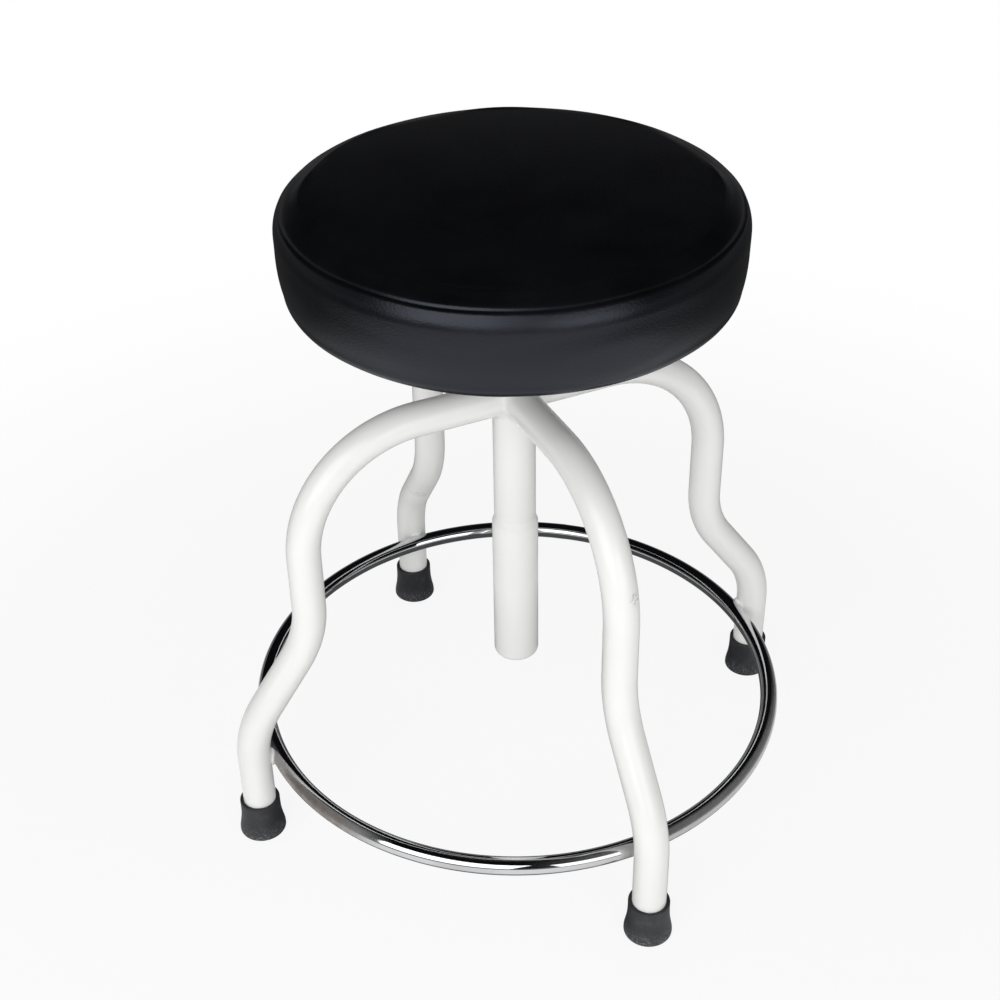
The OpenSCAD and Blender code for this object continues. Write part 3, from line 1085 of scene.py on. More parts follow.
@dataclass
class Hub:
    """The upright tube with its guard below, the threaded nut and the wear washer."""

    tube: float = 31.8
    wall: float = 1.6
    top: float = 358.7
    bottom: float = 200.0
    guard: float = 35.2
    guard_wall: float = 1.6
    guard_top: float = 230.0
    guard_bottom: float = 101.0
    guard_round: float = 4.5
    # Out from the hub tube, and up from the guard's top.
    fillet: Outline = ((-0.2, -0.4), (1.6, -0.4), (1.25, 0.5), (0.75, 2.0), (0.25, 4.0), (-0.1, 6.5))
    nut_bottom: float = 313.7
    nut_flange: float = 36.0
    nut_flange_t: float = 3.0
    nut_bore: float = 24.1
    washer: float = 40.0
    washer_t: float = 2.5
    washer_bottom: float = 361.8
    washer_bore: float = 24.4
    edge: float = 0.5

    def build(self) -> None:
        """Makes the tubes, the nut and the washer."""
        r, bore, edge = self.tube / 2, self.tube / 2 - self.wall, self.edge
        hub = Bench.turned("hub_post", slab(bore, r, self.bottom, self.top, edge))
        hub.hand_over(WHITE_COAT, Body.STAND, ["hub_tube"])
        g, w, e, low = self.guard / 2, self.guard_wall, self.guard_round, self.guard_bottom
        outline = (
            [(0, low)]
            + arc(g - e, low + e, e, -90, 0, 8)
            + arc(g - edge, self.guard_top - edge, edge, 0, 90, 3)
            + [(g - w + 0.3, self.guard_top), (g - w, self.guard_top - 0.3)]
            + arc(g - e, low + e, e - w, 0, -90, 8)
            + [(0, low + w)]
        )
        guard = Bench.turned("guard_sleeve", outline)
        guard.hand_over(WHITE_COAT, Body.STAND, ["guard_tube"])
        fillet = [(r + out, self.guard_top + up) for out, up in self.fillet]
        lap = Bench.turned("guard_lap_fillet", fillet + fillet[:1])
        lap.hand_over(WHITE_COAT, Body.STAND, (), 60)
        hole, flange, rim = self.nut_bore / 2, self.nut_flange / 2, self.top + self.nut_flange_t
        nut = (
            [(hole, self.nut_bottom), (bore, self.nut_bottom), (bore, self.top)]
            + arc(flange - edge, self.top + edge, edge, -90, 0, 3)
            + arc(flange - edge, rim - edge, edge, 0, 90, 3)
            + [(hole + edge, rim), (hole, rim - edge), (hole, self.nut_bottom)]
        )
        Bench.turned("threaded_hub_nut", nut).hand_over(STEEL, Body.STAND, ["hub_nut"])
        low, high = self.washer_bottom, self.washer_bottom + self.washer_t
        washer = Bench.turned("wear_ring", slab(self.washer_bore / 2, self.washer / 2, low, high, 0.6))
        washer.hand_over(NYLON, Body.WASHER, ["wear_washer"])


@dataclass
class FootRing:
    """The chromed round bar inside the legs, with a bead at each leg."""

    bar: float = 13.5
    radius: float = 204.55
    height: float = 70.0233
    leg: float = 25.4
    foot: float = 224.5  # from the spindle to the legs' middle
    weld: float = 5.2  # half width of the bead's loop
    weld_points: int = 36
    butt_angle: float = 98.0  # where the bar's ends meet, in degrees
    butt_swell: float = 0.22
    butt_width: float = 2.2

    def bar_ring(self) -> Bench:
        """Spins the bar's section once round, and leaves the ground-down butt joint at the back.

        Returns:
            The ring.
        """
        section = [(self.radius + x, self.height + z) for x, z in arc(0, 0, self.bar / 2, 0, 360, 40)]
        ring = Bench.turned("foot_ring_bar", section, 288)

        def joint(v: Vector, _: Vector) -> Vector:
            """Swells the bar a little where its ends were welded together.

            Args:
                v: A point of the bar.
                _: Its normal, of no account here.

            Returns:
                Its new place.
            """
            along = (math.atan2(v.y, v.x) - math.radians(self.butt_angle)) * self.radius
            swell = self.butt_swell * math.exp(-((along / self.butt_width) ** 2))
            centre = Vector((v.x, v.y, 0)).normalized() * self.radius + Vector((0, 0, self.height))
            return v + (v - centre).normalized() * swell

        return ring.shift(joint)

    def weld_path(self) -> tuple[list[Vector], list[float]]:
        """The crevice between the bar and a leg along +X.

        Returns:
            The bead's points and its radius at each.
        """
        points, widths = [], []
        dice = random.Random(23)
        for a in turns(self.weld_points):
            y, z = self.weld * math.cos(a), self.weld * math.sin(a)
            skin = self.foot - math.sqrt((self.leg / 2) ** 2 - y * y)
            bar = self.radius + math.sqrt((self.bar / 2) ** 2 - z * z)
            points.append(Vector(((skin + bar) / 2, y, self.height + z)))
            widths.append((skin - bar) / 2 + 0.7 + dice.uniform(-0.15, 0.25))
        return points, widths

    def build(self) -> None:
        """Makes the ring and its four welds."""
        self.bar_ring().hand_over(CHROME, Body.STAND, ["foot_ring"], 60)
        weld = Bench.bead("weld", *self.weld_path())
        for corner in Corner:
            twin = weld.copy(f"ring_weld_bead_{corner.tag}", corner.turn)
            twin.hand_over(WHITE_COAT, Body.STAND, ["ring_welds"], 60)
        weld.discard()


@dataclass
class RubberFeet:
    """Four flared rubber feet pushed over the leg ends, with a grooved tread."""

    foot: float = 224.5
    tube: float = 25.4
    height: float = 32.0
    base: float = 36.0
    rim: float = 31.0
    floor: float = 6.0  # height of the socket's floor
    lip: float = 1.2  # rounding of the two rims
    skirt: Outline = ((-0.1, 3.6), (-0.5, 6.0), (-1.1, 9.0))  # out from the base, up from the floor
    neck: Outline = ((0.75, 13.0), (0.2, 18.0), (0.0, 24.0))  # out from the rim, up from the floor
    grooves: tuple[float, ...] = (4.0, 8.0, 12.0)
    groove: Outline = ((0.0, 0.0), (0.2, 0.8), (1.2, 0.8), (1.4, 0.0))  # one groove of the tread

    def outline(self) -> Outline:
        """The foot's section, from the middle of the tread round to the socket's floor.

        Returns:
            A closed outline from axis to axis.
        """
        base, rim, top, e = self.base / 2, self.rim / 2, self.height, self.lip
        bore = self.tube / 2
        tread = [(r + out, up) for r in self.grooves for out, up in self.groove]
        flare = [(base + out, up) for out, up in self.skirt] + [(rim + out, up) for out, up in self.neck]
        return (
            [(0, 0)]
            + tread
            + arc(base - e, e, e, -90, 0, 5)
            + flare
            + arc(rim - e, top - e, e, 0, 90, 5)
            + [(bore + 0.5, top), (bore, top - 0.5), (bore, self.floor), (0, self.floor)]
        )

    def build(self) -> None:
        """Makes one foot and copies it to the four corners."""
        foot = Bench.turned("rubber_foot", self.outline(), 72).close()
        for corner in Corner:
            place = corner.turn @ Matrix.Translation((self.foot * MM, 0, 0))
            twin = foot.copy(f"rubber_boot_{corner.tag}", place)
            twin.hand_over(RUBBER, Body.STAND, [f"rubber_foot_{corner.tag}"], 45)
        foot.discard()


# -------------------------------------------------------------------- seat


@dataclass
class Lift:
    """The threaded spindle and the steel plate that it is welded to."""

    spindle: float = 24.0
    depth: float = 1.2  # the thread's
    lead: float = 8.0
    starts: int = 2
    # Rise, and share of the pitch.
    ridge: Outline = ((0.0, 0.0), (0.0, 0.2), (1.0, 0.36), (1.0, 0.64), (0.0, 0.8))
    bottom: float = 184.7
    top: float = 436.4
    plate: float = 140.0
    plate_t: float = 4.0
    plate_edge: float = 0.6
    boss: float = 42.0
    boss_h: float = 8.0
    boss_edge: float = 0.8
    boss_fillet: float = 1.6
    screws: int = 4
    screw_circle: float = 108.0
    screw: float = 6.0
    screw_gap: float = 0.3  # room round a screw in the plate
    head: float = 11.5
    head_h: float = 4.0
    washer: float = 14.0
    washer_t: float = 1.6
    board_top: float = 449.2
    weld: float = 1.7  # half width of the bead

    @property
    def plate_z(self) -> float:
        """Height of the plate's underside."""
        return self.top - self.plate_t

    def thread(self) -> Bench:
        """Winds one lead of the thread's outline up the spindle and trims both ends.

        Returns:
            The closed spindle.
        """
        pitch = self.lead / self.starts
        root, start = self.spindle / 2 - self.depth, self.bottom - self.lead
        outline = [
            (root + rise * self.depth, start + (turn + share) * pitch)
            for turn in range(self.starts)
            for rise, share in self.ridge
        ]
        outline.append((root, start + self.lead))
        bench = Bench.drawn("lift_spindle", outline)
        bench.modify(
            "SCREW",
            axis="Z",
            screw_offset=self.lead * MM,
            iterations=math.ceil((self.top - start) / self.lead) + 1,
            steps=64,
            render_steps=64,
            use_merge_vertices=True,
            merge_threshold=1e-6,
        )
        bench.take().open()
        for height, up in ((self.bottom, False), (self.top, True)):
            bpy.ops.mesh.select_all(action="SELECT")
            bpy.ops.mesh.bisect(
                plane_co=(0, 0, height * MM),
                plane_no=(0, 0, 1),
                use_fill=True,
                clear_inner=not up,
                clear_outer=up,
            )
        return bench.heal()

    def plate_disc(self) -> Bench:
        """Turns the plate and its boss and drills the screw holes.

        Returns:
            The drilled plate.
        """
        bore, boss, rim = self.spindle / 2 + 0.02, self.boss / 2, self.plate / 2
        low, mid, top = self.plate_z - self.boss_h, self.plate_z, self.top
        e, f, p = self.boss_edge, self.boss_fillet, self.plate_edge
        outline = (
            [(bore, low), (boss - e, low)]
            + arc(boss - e, low + e, e, -90, 0, 3)
            + [(boss, mid - f)]
            + arc(boss + f, mid - f, f, 180, 90, 4)
            + arc(rim - p, mid + p, p, -90, 0, 3)
            + arc(rim - p, top - p, p, 0, 90, 3)
            + [(bore, top), (bore, low)]
        )
        plate = Bench.turned("seat_plate_disc", outline)
        for a in turns(self.screws):
            place = (self.screw_circle / 2 * math.cos(a), self.screw_circle / 2 * math.sin(a), mid - 1)
            plate.cut(Bench.rod("drill", self.screw + 2 * self.screw_gap, place, self.plate_t + 2, 32))
        return plate

    def bolt(self, name: str) -> Bench:
        """A hexagon screw at +X, its head under the plate.

        Args:
            name: The piece's name.

        Returns:
            The screw.
        """
        top = self.plate_z - self.washer_t
        r = self.screw_circle / 2
        bolt = Bench.rod(name, self.head, (r, 0, top - self.head_h), self.head_h, 6)
        bolt.break_edges(0.35, 40)
        shank = Bench.rod("shank", self.screw, (r, 0, top - 0.5), self.board_top - top + 0.5, 32)
        return bolt.cut(shank, "UNION")

    def build(self) -> None:
        """Makes the spindle, the plate, its weld and its screws."""
        self.thread().hand_over(STEEL, Body.SEAT, ["spindle"], 30)
        self.plate_disc().hand_over(STEEL, Body.SEAT, ["seat_plate"])
        r, low = self.spindle / 2, self.plate_z - self.boss_h
        dice = random.Random(3)
        path = [Vector((r * math.cos(a), r * math.sin(a), low + 0.2)) for a in turns(60)]
        weld = Bench.bead("spindle_weld_bead", path, [self.weld + dice.uniform(-0.15, 0.2) for _ in path])
        weld.hand_over(STEEL, Body.SEAT, (), 60)
        bolt = self.bolt("plate_bolt")
        hole = self.screw / 2 + self.screw_gap
        section = slab(hole, self.washer / 2, self.plate_z - self.washer_t, self.plate_z, 0.3)
        ring = Bench.turned("plate_washer", section, 48).close()
        out = Matrix.Translation((self.screw_circle / 2 * MM, 0, 0))
        for i, angle in enumerate(turns(self.screws), 1):
            turn = Matrix.Rotation(angle, 4, "Z")
            bolt.copy(f"plate_bolt_{i}", turn).hand_over(ZINC, Body.SEAT, ["plate_screws"], 30)
            ring.copy(f"flat_washer_{i}", turn @ out).hand_over(ZINC, Body.SEAT, ["plate_washers"])
        bolt.discard()
        ring.discard()


@dataclass
class Cushion:
    """The padded seat: foam on the board, and a vinyl cover pulled over and turned under."""

    across: float = 322.0
    top: float = 507.0
    thick: float = 73.0
    crown: float = 5.0  # how much higher the middle is than the edge
    edge_r: float = 20.0  # rounding at the top
    draw: float = 3.0  # how far the side is drawn in lower down
    roll_r: float = 9.0  # rounding at the bottom
    skin: float = 1.2
    hem_r: float = 118.0  # where the turned-in cover ends
    board_r: float = 148.0
    board_z: float = 437.2  # underside of the board
    board_top: float = 449.2
    lining_t: float = 0.8
    lining_lap: float = 10.0
    staple_w: float = 10.0
    staple_wire: float = 0.8
    staple_leg: float = 8.0
    staples: int = 16
    slack: float = 3.0  # how far inside the skin the form starts
    voxel: float = 4.5
    held: float = 5.0  # height of the bottom, which is held
    frames: int = 20
    pressure: float = 4.0
    cap: float = 3.0  # the most that a point is blown out
    wave_share: float = 0.45  # how much of the slow waves is kept
    wave_width: float = 9.0
    waves_most: int = 14
    wave_passes: int = 12
    wave_range: Span = (-0.5, 1.2)
    crease: float = 0.765
    crease_change: Waves = ((0.225, 3, 1.1), (0.135, 8, 0.0))  # how its depth changes round the seat
    crease_tilt: float = 47.0
    crease_wander: Waves = ((1.4, 2, 0.6), (0.9, 5, 2.0), (0.5, 11, 0.0))
    crease_width: float = 1.1
    lip: float = 0.3  # rise beside the crease, as a share of its depth
    lip_off: float = 2.8
    lip_width: float = 1.6
    sunk_top: float = 0.55  # how far the top is drawn down inside the crease
    ripples: Waves = ((0.1, 4, 0.7), (0.07, 9, 2.1), (0.04, 17, 0.0))
    pleats: int = 40
    pleat: float = 1.3
    pleat_drift: Waves = ((0.45, 3, 0.0), (0.3, 7, 1.0))
    pleat_lean: float = 1.4  # over 1, each pleat rises slowly and falls at once
    pleat_top: float = 8.0
    pleat_rise: float = 6.0
    pleat_fade: float = 9.0
    pleat_end: float = 154.0
    proud: float = 1.1  # how far the cover stands out where foam fills it
    proud_fade: float = 4.0
    sink: float = 0.3
    probe: float = 8.0  # height above the skin from which the form is looked for
    probe_reach: float = 20.0
    foam_gap: float = 2.6
    dent: float = 19.2  # room for each T-nut's flange
    dent_circle: float = 108.0
    pucker: float = 0.22  # sag between two staples
    ragged: float = 0.5  # how far the edge draws in between them
    lining_cloth: float = 0.35  # thickness of the cloth

    @property
    def low(self) -> float:
        """Height of the cushion's lowest point."""
        return self.top - self.thick

    def outline(self, inset: float) -> Outline:
        """The cushion's section from its crown to the tuck under the board.

        Args:
            inset: How far it lies inside the cover's skin.

        Returns:
            Radius and height of each point.
        """
        r, e = self.across / 2, self.edge_r
        edge = self.top - self.crown
        side = edge - e - self.low - self.roll_r
        crown = [((r - e) * i / 12, self.top - self.crown * (i / 12) ** 2 - inset) for i in range(12)]
        wall = [(r - inset - self.draw * (i / 7) ** 2, edge - e - side * i / 7) for i in range(1, 7)]
        return (
            crown
            + arc(r - e, edge - e, e - inset, 90, 0, 12)
            + wall
            + arc(r - self.draw - self.roll_r, self.low + self.roll_r, self.roll_r - inset, 0, -90, 8)
            + [(self.board_r - self.roll_r, self.board_z - self.skin + inset)]
        )

    def swollen(self) -> BVHTree:
        """The filled form: remeshed, blown up with Cloth so that it fills out as over foam, and smoothed.

        Returns:
            Its surface, for the skin to be drawn over.
        """
        body = self.outline(self.slack) + [(0, self.board_z - self.skin + self.slack)]
        bench = Bench.turned("filled_form", body, 160)
        bench.modify("REMESH", mode="VOXEL", voxel_size=self.voxel * MM)
        piece = bench.piece
        rest = [v.co.copy() for v in piece.data.vertices]
        held = piece.vertex_groups.new(name="held")
        low = (self.low + self.held) * MM
        held.add([i for i, co in enumerate(rest) if co.z < low], 1.0, "REPLACE")
        cloth = piece.modifiers.new("Cloth", "CLOTH")
        cloth.settings.use_pressure = True
        cloth.settings.uniform_pressure_force = self.pressure
        cloth.settings.effector_weights.gravity = 0
        cloth.settings.vertex_group_mass = "held"
        cloth.settings.quality = 6
        for step in range(1, self.frames + 1):
            bpy.context.scene.frame_set(step)
        bench.take()
        bpy.ops.object.modifier_apply(modifier="Cloth")
        bpy.context.scene.frame_set(1)
        for vertex, before in zip(piece.data.vertices, rest):
            move = vertex.co - before
            vertex.co = before + move * min(1.0, self.cap * MM / max(move.length, 1e-9))
        bench.modify("SMOOTH", factor=0.5, iterations=40)
        bench.modify("SUBSURF", levels=1, render_levels=1)
        tree = BVHTree.FromObject(piece, bpy.context.evaluated_depsgraph_get())
        bench.discard()
        return tree

    def skin_outline(self) -> Outline:
        """The cover's section with close points where its crease and its folds come.

        Returns:
            Radius and height of each point, from the crown to the hem.
        """
        r, e, edge = self.across / 2, self.edge_r, self.top - self.crown
        side = edge - e - self.low - self.roll_r
        crown = [((r - e) * i / 26, self.top - self.crown * (i / 26) ** 2) for i in range(26)]
        wall = [(r - self.draw * (i / 14) ** 2, edge - e - side * i / 14) for i in range(1, 14)]
        roll = arc(r - self.draw - self.roll_r, self.low + self.roll_r, self.roll_r, 0, -90, 12)
        tuck_r, tuck_z = self.board_r - self.roll_r, self.board_z - self.skin
        last_r, last_z = roll[-1]
        tuck = [(last_r + (tuck_r - last_r) * i / 6, last_z + (tuck_z - last_z) * i / 6) for i in range(1, 7)]
        hem = [(tuck_r + (self.hem_r - tuck_r) * i / 8, tuck_z) for i in range(1, 9)]
        return crown + arc(r - e, edge - e, e, 90, 0, 40) + wall + roll + tuck + hem

    def cover(self) -> Bench:
        """Draws the skin over the filled form, creases and gathers it, and gives it its thickness.

        Returns:
            The cover.
        """
        form = self.swollen()
        outline, steps = self.skin_outline(), 288
        bench = Bench.turned("seat_cover_skin", outline, steps)
        rows = np.array(outline)
        depths = np.full((len(outline), steps), np.nan)

        def spot(v: Vector) -> tuple[int, int]:
            """Finds a point's row in the outline and its step round.

            Args:
                v: The point.

            Returns:
                The row and the step.
            """
            step = round(math.atan2(v.y, v.x) / math.tau * steps) % steps
            row = np.argmin(np.abs(rows - (math.hypot(v.x, v.y), v.z)).sum(axis=1))
            return int(row), step

        def measure(v: Vector, n: Vector) -> Vector:
            """Notes how deep the filled form lies under a point.

            Args:
                v: The point.
                n: Its normal.

            Returns:
                The point as it was.
            """
            hit = form.ray_cast((v + n * self.probe) * MM, -n, self.probe_reach * MM)
            if hit[0] is not None:
                depths[spot(v)] = hit[3] / MM - self.probe
            return v

        bench.shift(measure)
        waves = self.slow_waves(depths, [r for r, _ in outline])

        def settle(v: Vector, n: Vector) -> Vector:
            """Puts a point where the filled form, the crease and the pleats leave it.

            Args:
                v: The point.
                n: Its normal.

            Returns:
                Its new place.
            """
            under = v.z < self.low + self.roll_r
            past = (v.xy.length - self.board_r - 1) / self.proud_fade
            full = min(max(past, 0.0), 1.0) if under else 1.0
            return v + n * (self.relief(v) - self.sink + self.proud * full - waves[spot(v)])

        bench.shift(settle)
        return bench.modify("SOLIDIFY", thickness=self.skin * MM, offset=-1, use_even_offset=True)

    def slow_waves(self, depths: np.ndarray, radii: Sequence[float]) -> np.ndarray:
        """Keeps what is slow in the depths, so that the remesh's steps don't print through.

        Args:
            depths: Depth of the filled form under each point, by row and step round, NaN where unknown.
            radii: The radius of each row.

        Returns:
            How far each point sinks below the usual depth, in millimetres.
        """
        usual = np.nanmean(depths)
        deep = np.where(np.isnan(depths), usual, depths) - usual
        for row, radius in enumerate(radii):
            parts = np.fft.rfft(deep[row])
            parts[1 + int(min(radius / self.wave_width, self.waves_most)) :] = 0
            deep[row] = np.fft.irfft(parts, deep.shape[1])
        for _ in range(self.wave_passes):
            padded = np.vstack([deep[:1], deep, deep[-1:]])
            deep = (padded[:-2] + 2 * padded[1:-1] + padded[2:]) / 4
        return self.wave_share * np.clip(deep, *self.wave_range)

    def relief(self, v: Vector) -> float:
        """How far the skin stands out at a point, in millimetres: crease, ripples and gathers.

        Args:
            v: The point on the plain outline.

        Returns:
            The height along the outline's normal, mostly below 0.
        """
        radius, turn = math.hypot(v.x, v.y), math.atan2(v.y, v.x)
        r, e, edge = self.across / 2, self.edge_r, self.top - self.crown
        height = 0.0
        if radius > r - e and v.z > edge - e:
            tilt = math.degrees(math.atan2(radius - (r - e), v.z - (edge - e)))
            crease = self.crease_tilt + wave(turn, self.crease_wander)
            depth = self.crease + wave(turn, self.crease_change)
            along = math.radians(tilt - crease) * e
            height -= depth * math.exp(-((along / self.crease_width) ** 2))
            height += self.lip * depth * math.exp(-(((along - self.lip_off) / self.lip_width) ** 2))
            if tilt < crease:
                share = max(0.0, tilt) / crease
                height -= self.sunk_top * math.sin(math.pi * share) ** 2
        if v.z < edge and radius > r - e:
            height += wave(turn, self.ripples)
        start = self.hem_r + self.lining_lap + 1
        if v.z < self.low + self.pleat_top and radius > start:
            fade = min(1.0, max(0.0, (self.pleat_end - radius) / self.pleat_fade))
            rise = min(1.0, (radius - start) / self.pleat_rise) * fade
            place = turn / math.tau * self.pleats + wave(turn, self.pleat_drift)
            height += self.pleat * (place % 1.0) ** self.pleat_lean * rise
        return height

    def foam(self) -> Bench:
        """Turns the foam, with the board's place left out of its underside.

        Returns:
            The foam.
        """
        body = self.outline(self.skin + self.foam_gap)
        body += [(self.board_r, self.board_z + 0.2), (self.board_r, self.board_top), (0, self.board_top)]
        bench = Bench.turned("seat_foam_pad", body, 96)
        r = self.dent_circle / 2
        for a in turns(4):
            place = (r * math.cos(a), r * math.sin(a), self.board_top - 1)
            bench.cut(Bench.rod("dent", self.dent, place, 2.3, 32))
        return bench

    def lining(self) -> Bench:
        """Turns the lining and lets it pucker between the staples.

        Returns:
            The lining.
        """
        top, step = self.board_z - self.lining_t / 2, self.board_z - self.skin - self.lining_t / 2
        edge, slack_r = self.hem_r + self.lining_lap, 60
        radii = [0, 20, 40, slack_r, 80, 95, 105, 112]
        outline = [(r, top) for r in radii] + [(self.hem_r - 2, top), (self.hem_r - 0.4, step)]
        outline += [(self.hem_r + self.lining_lap * i / 5, step) for i in range(1, 6)]
        bench = Bench.turned("seat_lining_cloth", outline, 192)

        def sag(v: Vector, _: Vector) -> Vector:
            """Lets a point sag and its edge draw in between two staples.

            Args:
                v: The point.
                _: Its normal, of no account here.

            Returns:
                Its new place.
            """
            radius, angle = math.hypot(v.x, v.y), math.atan2(v.y, v.x)
            if radius < slack_r:
                return v
            slack = 0.5 - 0.5 * math.cos(self.staples * angle)
            drop = self.pucker * slack * (radius - slack_r) / (edge - slack_r)
            lap = max(0.0, radius - self.hem_r) / self.lining_lap
            drawn_in = self.ragged * math.sin(self.staples * angle + 1.2) * lap
            scale = (radius - max(0.0, drawn_in)) / radius
            return Vector((v.x * scale, v.y * scale, v.z - drop))

        bench.shift(sag)
        return bench.modify("SOLIDIFY", thickness=self.lining_cloth * MM, offset=0)

    def staple(self) -> Bench:
        """A wire staple at +X, its crown under the lining and its legs in the board.

        Returns:
            The staple.
        """
        wire, r = self.staple_wire, self.hem_r + self.lining_lap / 2
        z = self.board_z - self.skin - self.lining_t
        reach = self.staple_w / 2
        bench = Bench.block("staple", (wire, self.staple_w, wire), (r, 0, z - wire / 2))
        for side in (-1, 1):
            middle = (r, side * (reach - wire / 2), z + (self.staple_leg - wire) / 2)
            bench.cut(Bench.block("staple_leg", (wire, wire, self.staple_leg + wire), middle), "UNION")
        return bench.break_edges(0.22, 60)

    def build(self) -> None:
        """Makes the cover, the foam, the lining and the staples."""
        cover = self.cover().hand_over(VINYL, Body.SEAT, ["seat_cover"], 75)
        foam = self.foam().hand_over(FOAM, Body.SEAT, ["seat_foam"], 50)
        lining = self.lining().hand_over(LINING, Body.SEAT, ["seat_lining"], 60)
        staple = self.staple()
        for i in range(self.staples):
            turn = Matrix.Rotation(math.tau * (i + 0.5) / self.staples, 4, "Z")
            twin = staple.copy(f"lining_staple_{i + 1:02d}", turn)
            twin.hand_over(ZINC, Body.SEAT, ["seat_staples"], 40)
        staple.discard()


@dataclass
class KeptNodes:
    """CAD nodes whose own shape stays and which only get their finish."""

    finishes: dict[str, Finish] = field(
        default_factory=lambda: {
            "foot_washers": STEEL,
            "stop_washer": STEEL,
            "stop_screw": STEEL,
            "t_nuts": ZINC,
            "seat_board": PLY,
        }
    )

    def build(self) -> None:
        """Gives each node its finish."""
        for name, finish in self.finishes.items():
            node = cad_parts[name]
            for held in node.material_slots:
                held.material = finish.material()
            log.info("%s: kept, %s", name, finish.name)


# ------------------------------------------------------------------ studio


@dataclass(frozen=True)
class SoftBox:
    """A soft white lamp: where it hangs, its size, and its power in watts."""

    name: str
    place: Place
    width: float
    height: float
    power: float

    def hang(self, aim: Place) -> None:
        """Hangs the lamp so that it points at a place.

        Args:
            aim: The place.
        """
        data = bpy.data.lights.new(self.name, "AREA")
        data.shape, data.size, data.size_y = "RECTANGLE", self.width * MM, self.height * MM
        data.energy = self.power
        lamp = bpy.data.objects.new(self.name, data)
        bpy.context.collection.objects.link(lamp)
        lamp.location = Vector(self.place) * MM
        lamp.rotation_mode = "QUATERNION"
        lamp.rotation_quaternion = (Vector(aim) * MM - lamp.location).to_track_quat("-Z", "Y")


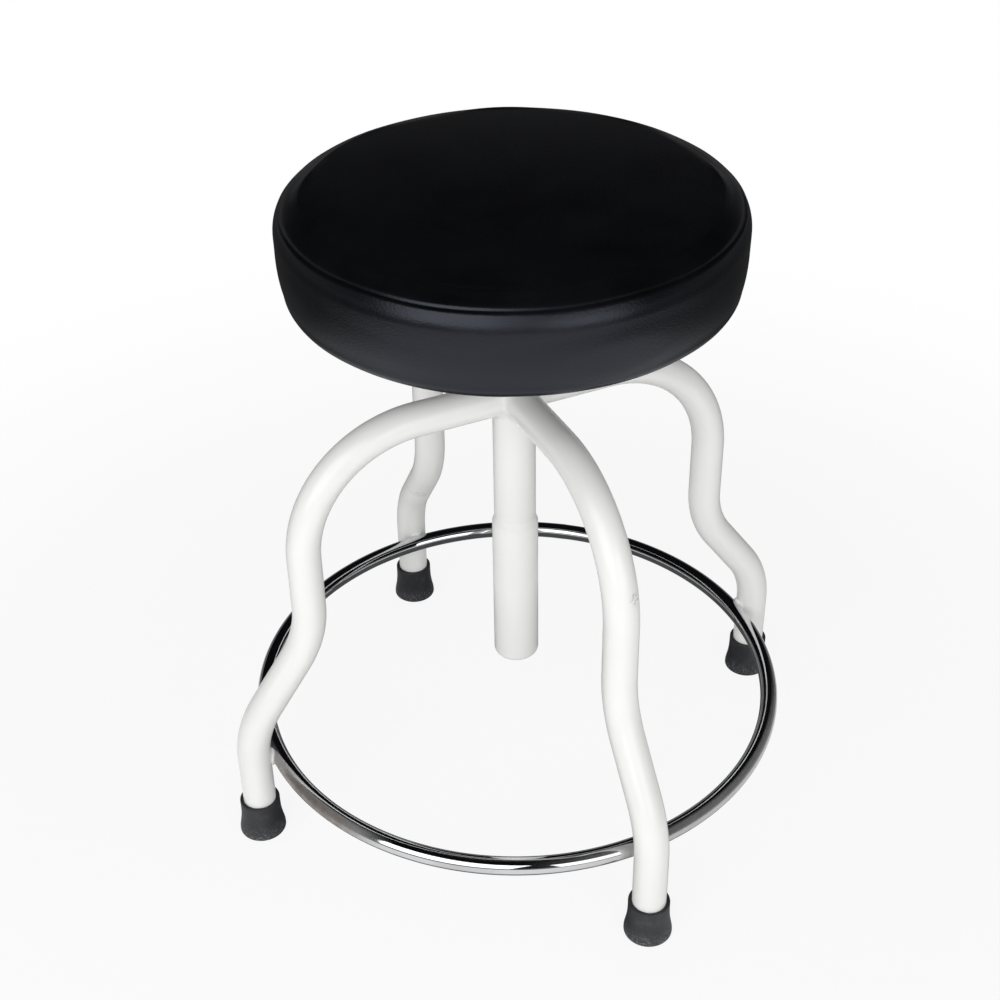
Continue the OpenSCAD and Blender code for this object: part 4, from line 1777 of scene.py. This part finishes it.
@dataclass
class Studio:
    """The pale floor, the soft lamps, the white surround and the camera."""

    lens: float = 60.07
    place: Place = (350.8, -969.9, 979.8)
    turn: float = 19.88  # about the spindle, in degrees
    pitch: float = 0.6171  # this and the next two in radians
    yaw: float = -0.011
    roll: float = -0.017
    ambient: float = 0.41
    floor_side: float = 24.0
    # For each, a point on the floor, the radii between which a value changes, and its values there.
    # The first two paint shade and light that only reflections see; the last keeps the real shadow.
    painted_shade_under: tuple[Place, Span, Span] = ((0, 0, 0), (0.2, 0.25), (0.03, 1.0))
    painted_light_pool: tuple[Place, Span, Span] = ((0.22, -0.6, 0), (0.6, 1.15), (1.0, 0.06))
    shadow_kept: tuple[Place, Span, Span] = ((0, 0, 0), (0.35, 1.0), (0.87, 1.0))
    aim: Place = (0, 0, 300)
    boxes: tuple[SoftBox, ...] = (
        SoftBox("key_soft_box", (-200, -1700, 1060), 1750, 1500, 18),
        SoftBox("fill_soft_box", (1500, -1250, 800), 1200, 1200, 9),
    )

    def camera(self) -> None:
        """Sets the camera where the photograph was taken from."""
        data = bpy.data.cameras.new("photo_camera")
        data.lens, data.sensor_width = self.lens, 36
        data.clip_start, data.clip_end = 0.01, 100
        camera = bpy.data.objects.new("photo_camera", data)
        bpy.context.collection.objects.link(camera)
        level = Vector((math.sin(self.yaw), math.cos(self.yaw), 0))
        ahead = level * math.cos(self.pitch) - Vector((0, 0, math.sin(self.pitch)))
        right = Vector((math.cos(self.yaw), -math.sin(self.yaw), 0))
        up = right.cross(ahead)
        rolled_right = math.cos(self.roll) * right + math.sin(self.roll) * up
        rolled_up = -math.sin(self.roll) * right + math.cos(self.roll) * up
        axes = Matrix((rolled_right, rolled_up, -ahead)).transposed().to_4x4()
        turn = Matrix.Rotation(math.radians(self.turn), 4, "Z")
        camera.matrix_world = Matrix.Translation(Vector(self.place) * MM) @ turn @ axes
        bpy.context.scene.camera = camera

    def floor(self) -> None:
        """Lays a plain white floor that shows white and keeps the stool's soft shadow, and shows painted
        light and shade in reflections.
        """
        Bench.clear()
        bpy.ops.mesh.primitive_plane_add(size=self.floor_side, location=(0, 0, 0))
        floor = bpy.context.object
        floor.name = floor.data.name = "studio_floor"
        # Seamless paper: matte white, lit evenly, with no grain at this distance.
        made = bpy.data.materials.new("matte_white_floor_sheet")
        made.use_nodes = True
        tree = made.node_tree
        tree.nodes.clear()
        paper = add_node(tree, "BsdfDiffuse", {"Color": "#f4f4f4"})
        place = add_node(tree, "TexCoord").outputs["Object"]
        # Mirrors see painted light and shade on the sheet: a painted pool of light in front of the stool, and
        # painted shade under the seat and far behind.
        under = self.reach(tree, place, *self.painted_shade_under)
        painted_pool = self.reach(tree, place, *self.painted_light_pool)
        mirrored = add_node(tree, "Math", {0: under, 1: painted_pool}, operation="MULTIPLY")
        glossy = add_node(tree, "LightPath").outputs["Is Glossy Ray"]
        strength = add_node(tree, "Mix", {0: glossy, 2: 1.0, 3: mirrored}, data_type="FLOAT")
        glow = add_node(tree, "Emission", {"Color": "#ffffff", "Strength": strength})
        # Near the stool a part of what is seen is the lit sheet itself, so that it keeps the shadow.
        near = self.reach(tree, place, *self.shadow_kept)
        seen = self.strongest(tree, "Is Camera Ray", "Is Glossy Ray", "Is Transmission Ray")
        share = add_node(tree, "Math", {0: seen, 1: near}, operation="MULTIPLY")
        mix = add_node(tree, "MixShader", {0: share, 1: paper, 2: glow})
        add_node(tree, "OutputMaterial", {0: mix})
        floor.data.materials.append(made)

    @staticmethod
    def reach(tree: Tree, place: Socket, centre: Place, radii: Span, values: Span) -> bpy.types.Node:
        """A value that changes with the distance from a point on the floor.

        Args:
            tree: The floor's node tree.
            place: The floor's coordinates.
            centre: The point, in metres.
            radii: Where the change starts and where it is done, in metres.
            values: The value before and after.

        Returns:
            The node that gives the value.
        """
        far = add_node(tree, "VectorMath", {0: place, 1: centre}, operation="DISTANCE")
        change = {"From Min": radii[0], "From Max": radii[1], "To Min": values[0], "To Max": values[1]}
        return add_node(tree, "MapRange", {"Value": far} | change, interpolation_type="SMOOTHSTEP")

    @staticmethod
    def strongest(tree: Tree, *kinds: str) -> Feed:
        """1 for rays of these kinds, and 0 for the others.

        Args:
            tree: The node tree.
            *kinds: The outputs of Light Path to look at.

        Returns:
            The node that gives it.
        """
        rays = add_node(tree, "LightPath").outputs
        best = rays[kinds[0]]
        for kind in kinds[1:]:
            best = add_node(tree, "Math", {0: best, 1: rays[kind]}, operation="MAXIMUM")
        return best

    def world(self) -> None:
        """Makes the surround: white where it is seen, a dark ceiling in reflections, soft grey as light."""
        world = bpy.data.worlds.new("studio_surround")
        bpy.context.scene.world = world
        world.use_nodes = True
        tree = world.node_tree
        tree.nodes.clear()
        direction = add_node(tree, "TexCoord").outputs["Generated"]
        height = add_node(tree, "SeparateXYZ", {0: direction}).outputs["Z"]
        fade = add_node(tree, "ValToRGB", {0: height})
        low, high = fade.color_ramp.elements
        low.position, low.color = 0.0, (0.3, 0.3, 0.3, 1)
        high.position, high.color = 0.22, (0.004, 0.004, 0.005, 1)
        seen = add_node(tree, "Background", {"Color": "#ffffff", "Strength": 1.0})
        mirrored = add_node(tree, "Background", {"Color": fade, "Strength": 1.0})
        light = add_node(tree, "Background", {"Color": "#ffffff", "Strength": self.ambient})
        glossy = add_node(tree, "LightPath").outputs["Is Glossy Ray"]
        unseen = add_node(tree, "MixShader", {0: glossy, 1: light, 2: mirrored})
        clear = self.strongest(tree, "Is Camera Ray", "Is Transmission Ray")
        last = add_node(tree, "MixShader", {0: clear, 1: unseen, 2: seen})
        add_node(tree, "OutputWorld", {0: last})

    def build(self) -> None:
        """Sets up the picture."""
        scene = bpy.context.scene
        scene.view_settings.view_transform = "Standard"
        self.camera()
        self.floor()
        self.world()
        for box in self.boxes:
            box.hang(self.aim)


def main() -> None:
    """Builds the stool piece by piece and sets it in the studio."""
    for part in (Studio(), Legs(), Hub(), FootRing(), RubberFeet(), Lift(), Cushion(), KeptNodes()):
        log.info("-- %s", type(part).__name__)
        part.build()


if __name__ == "__main__":
    main()
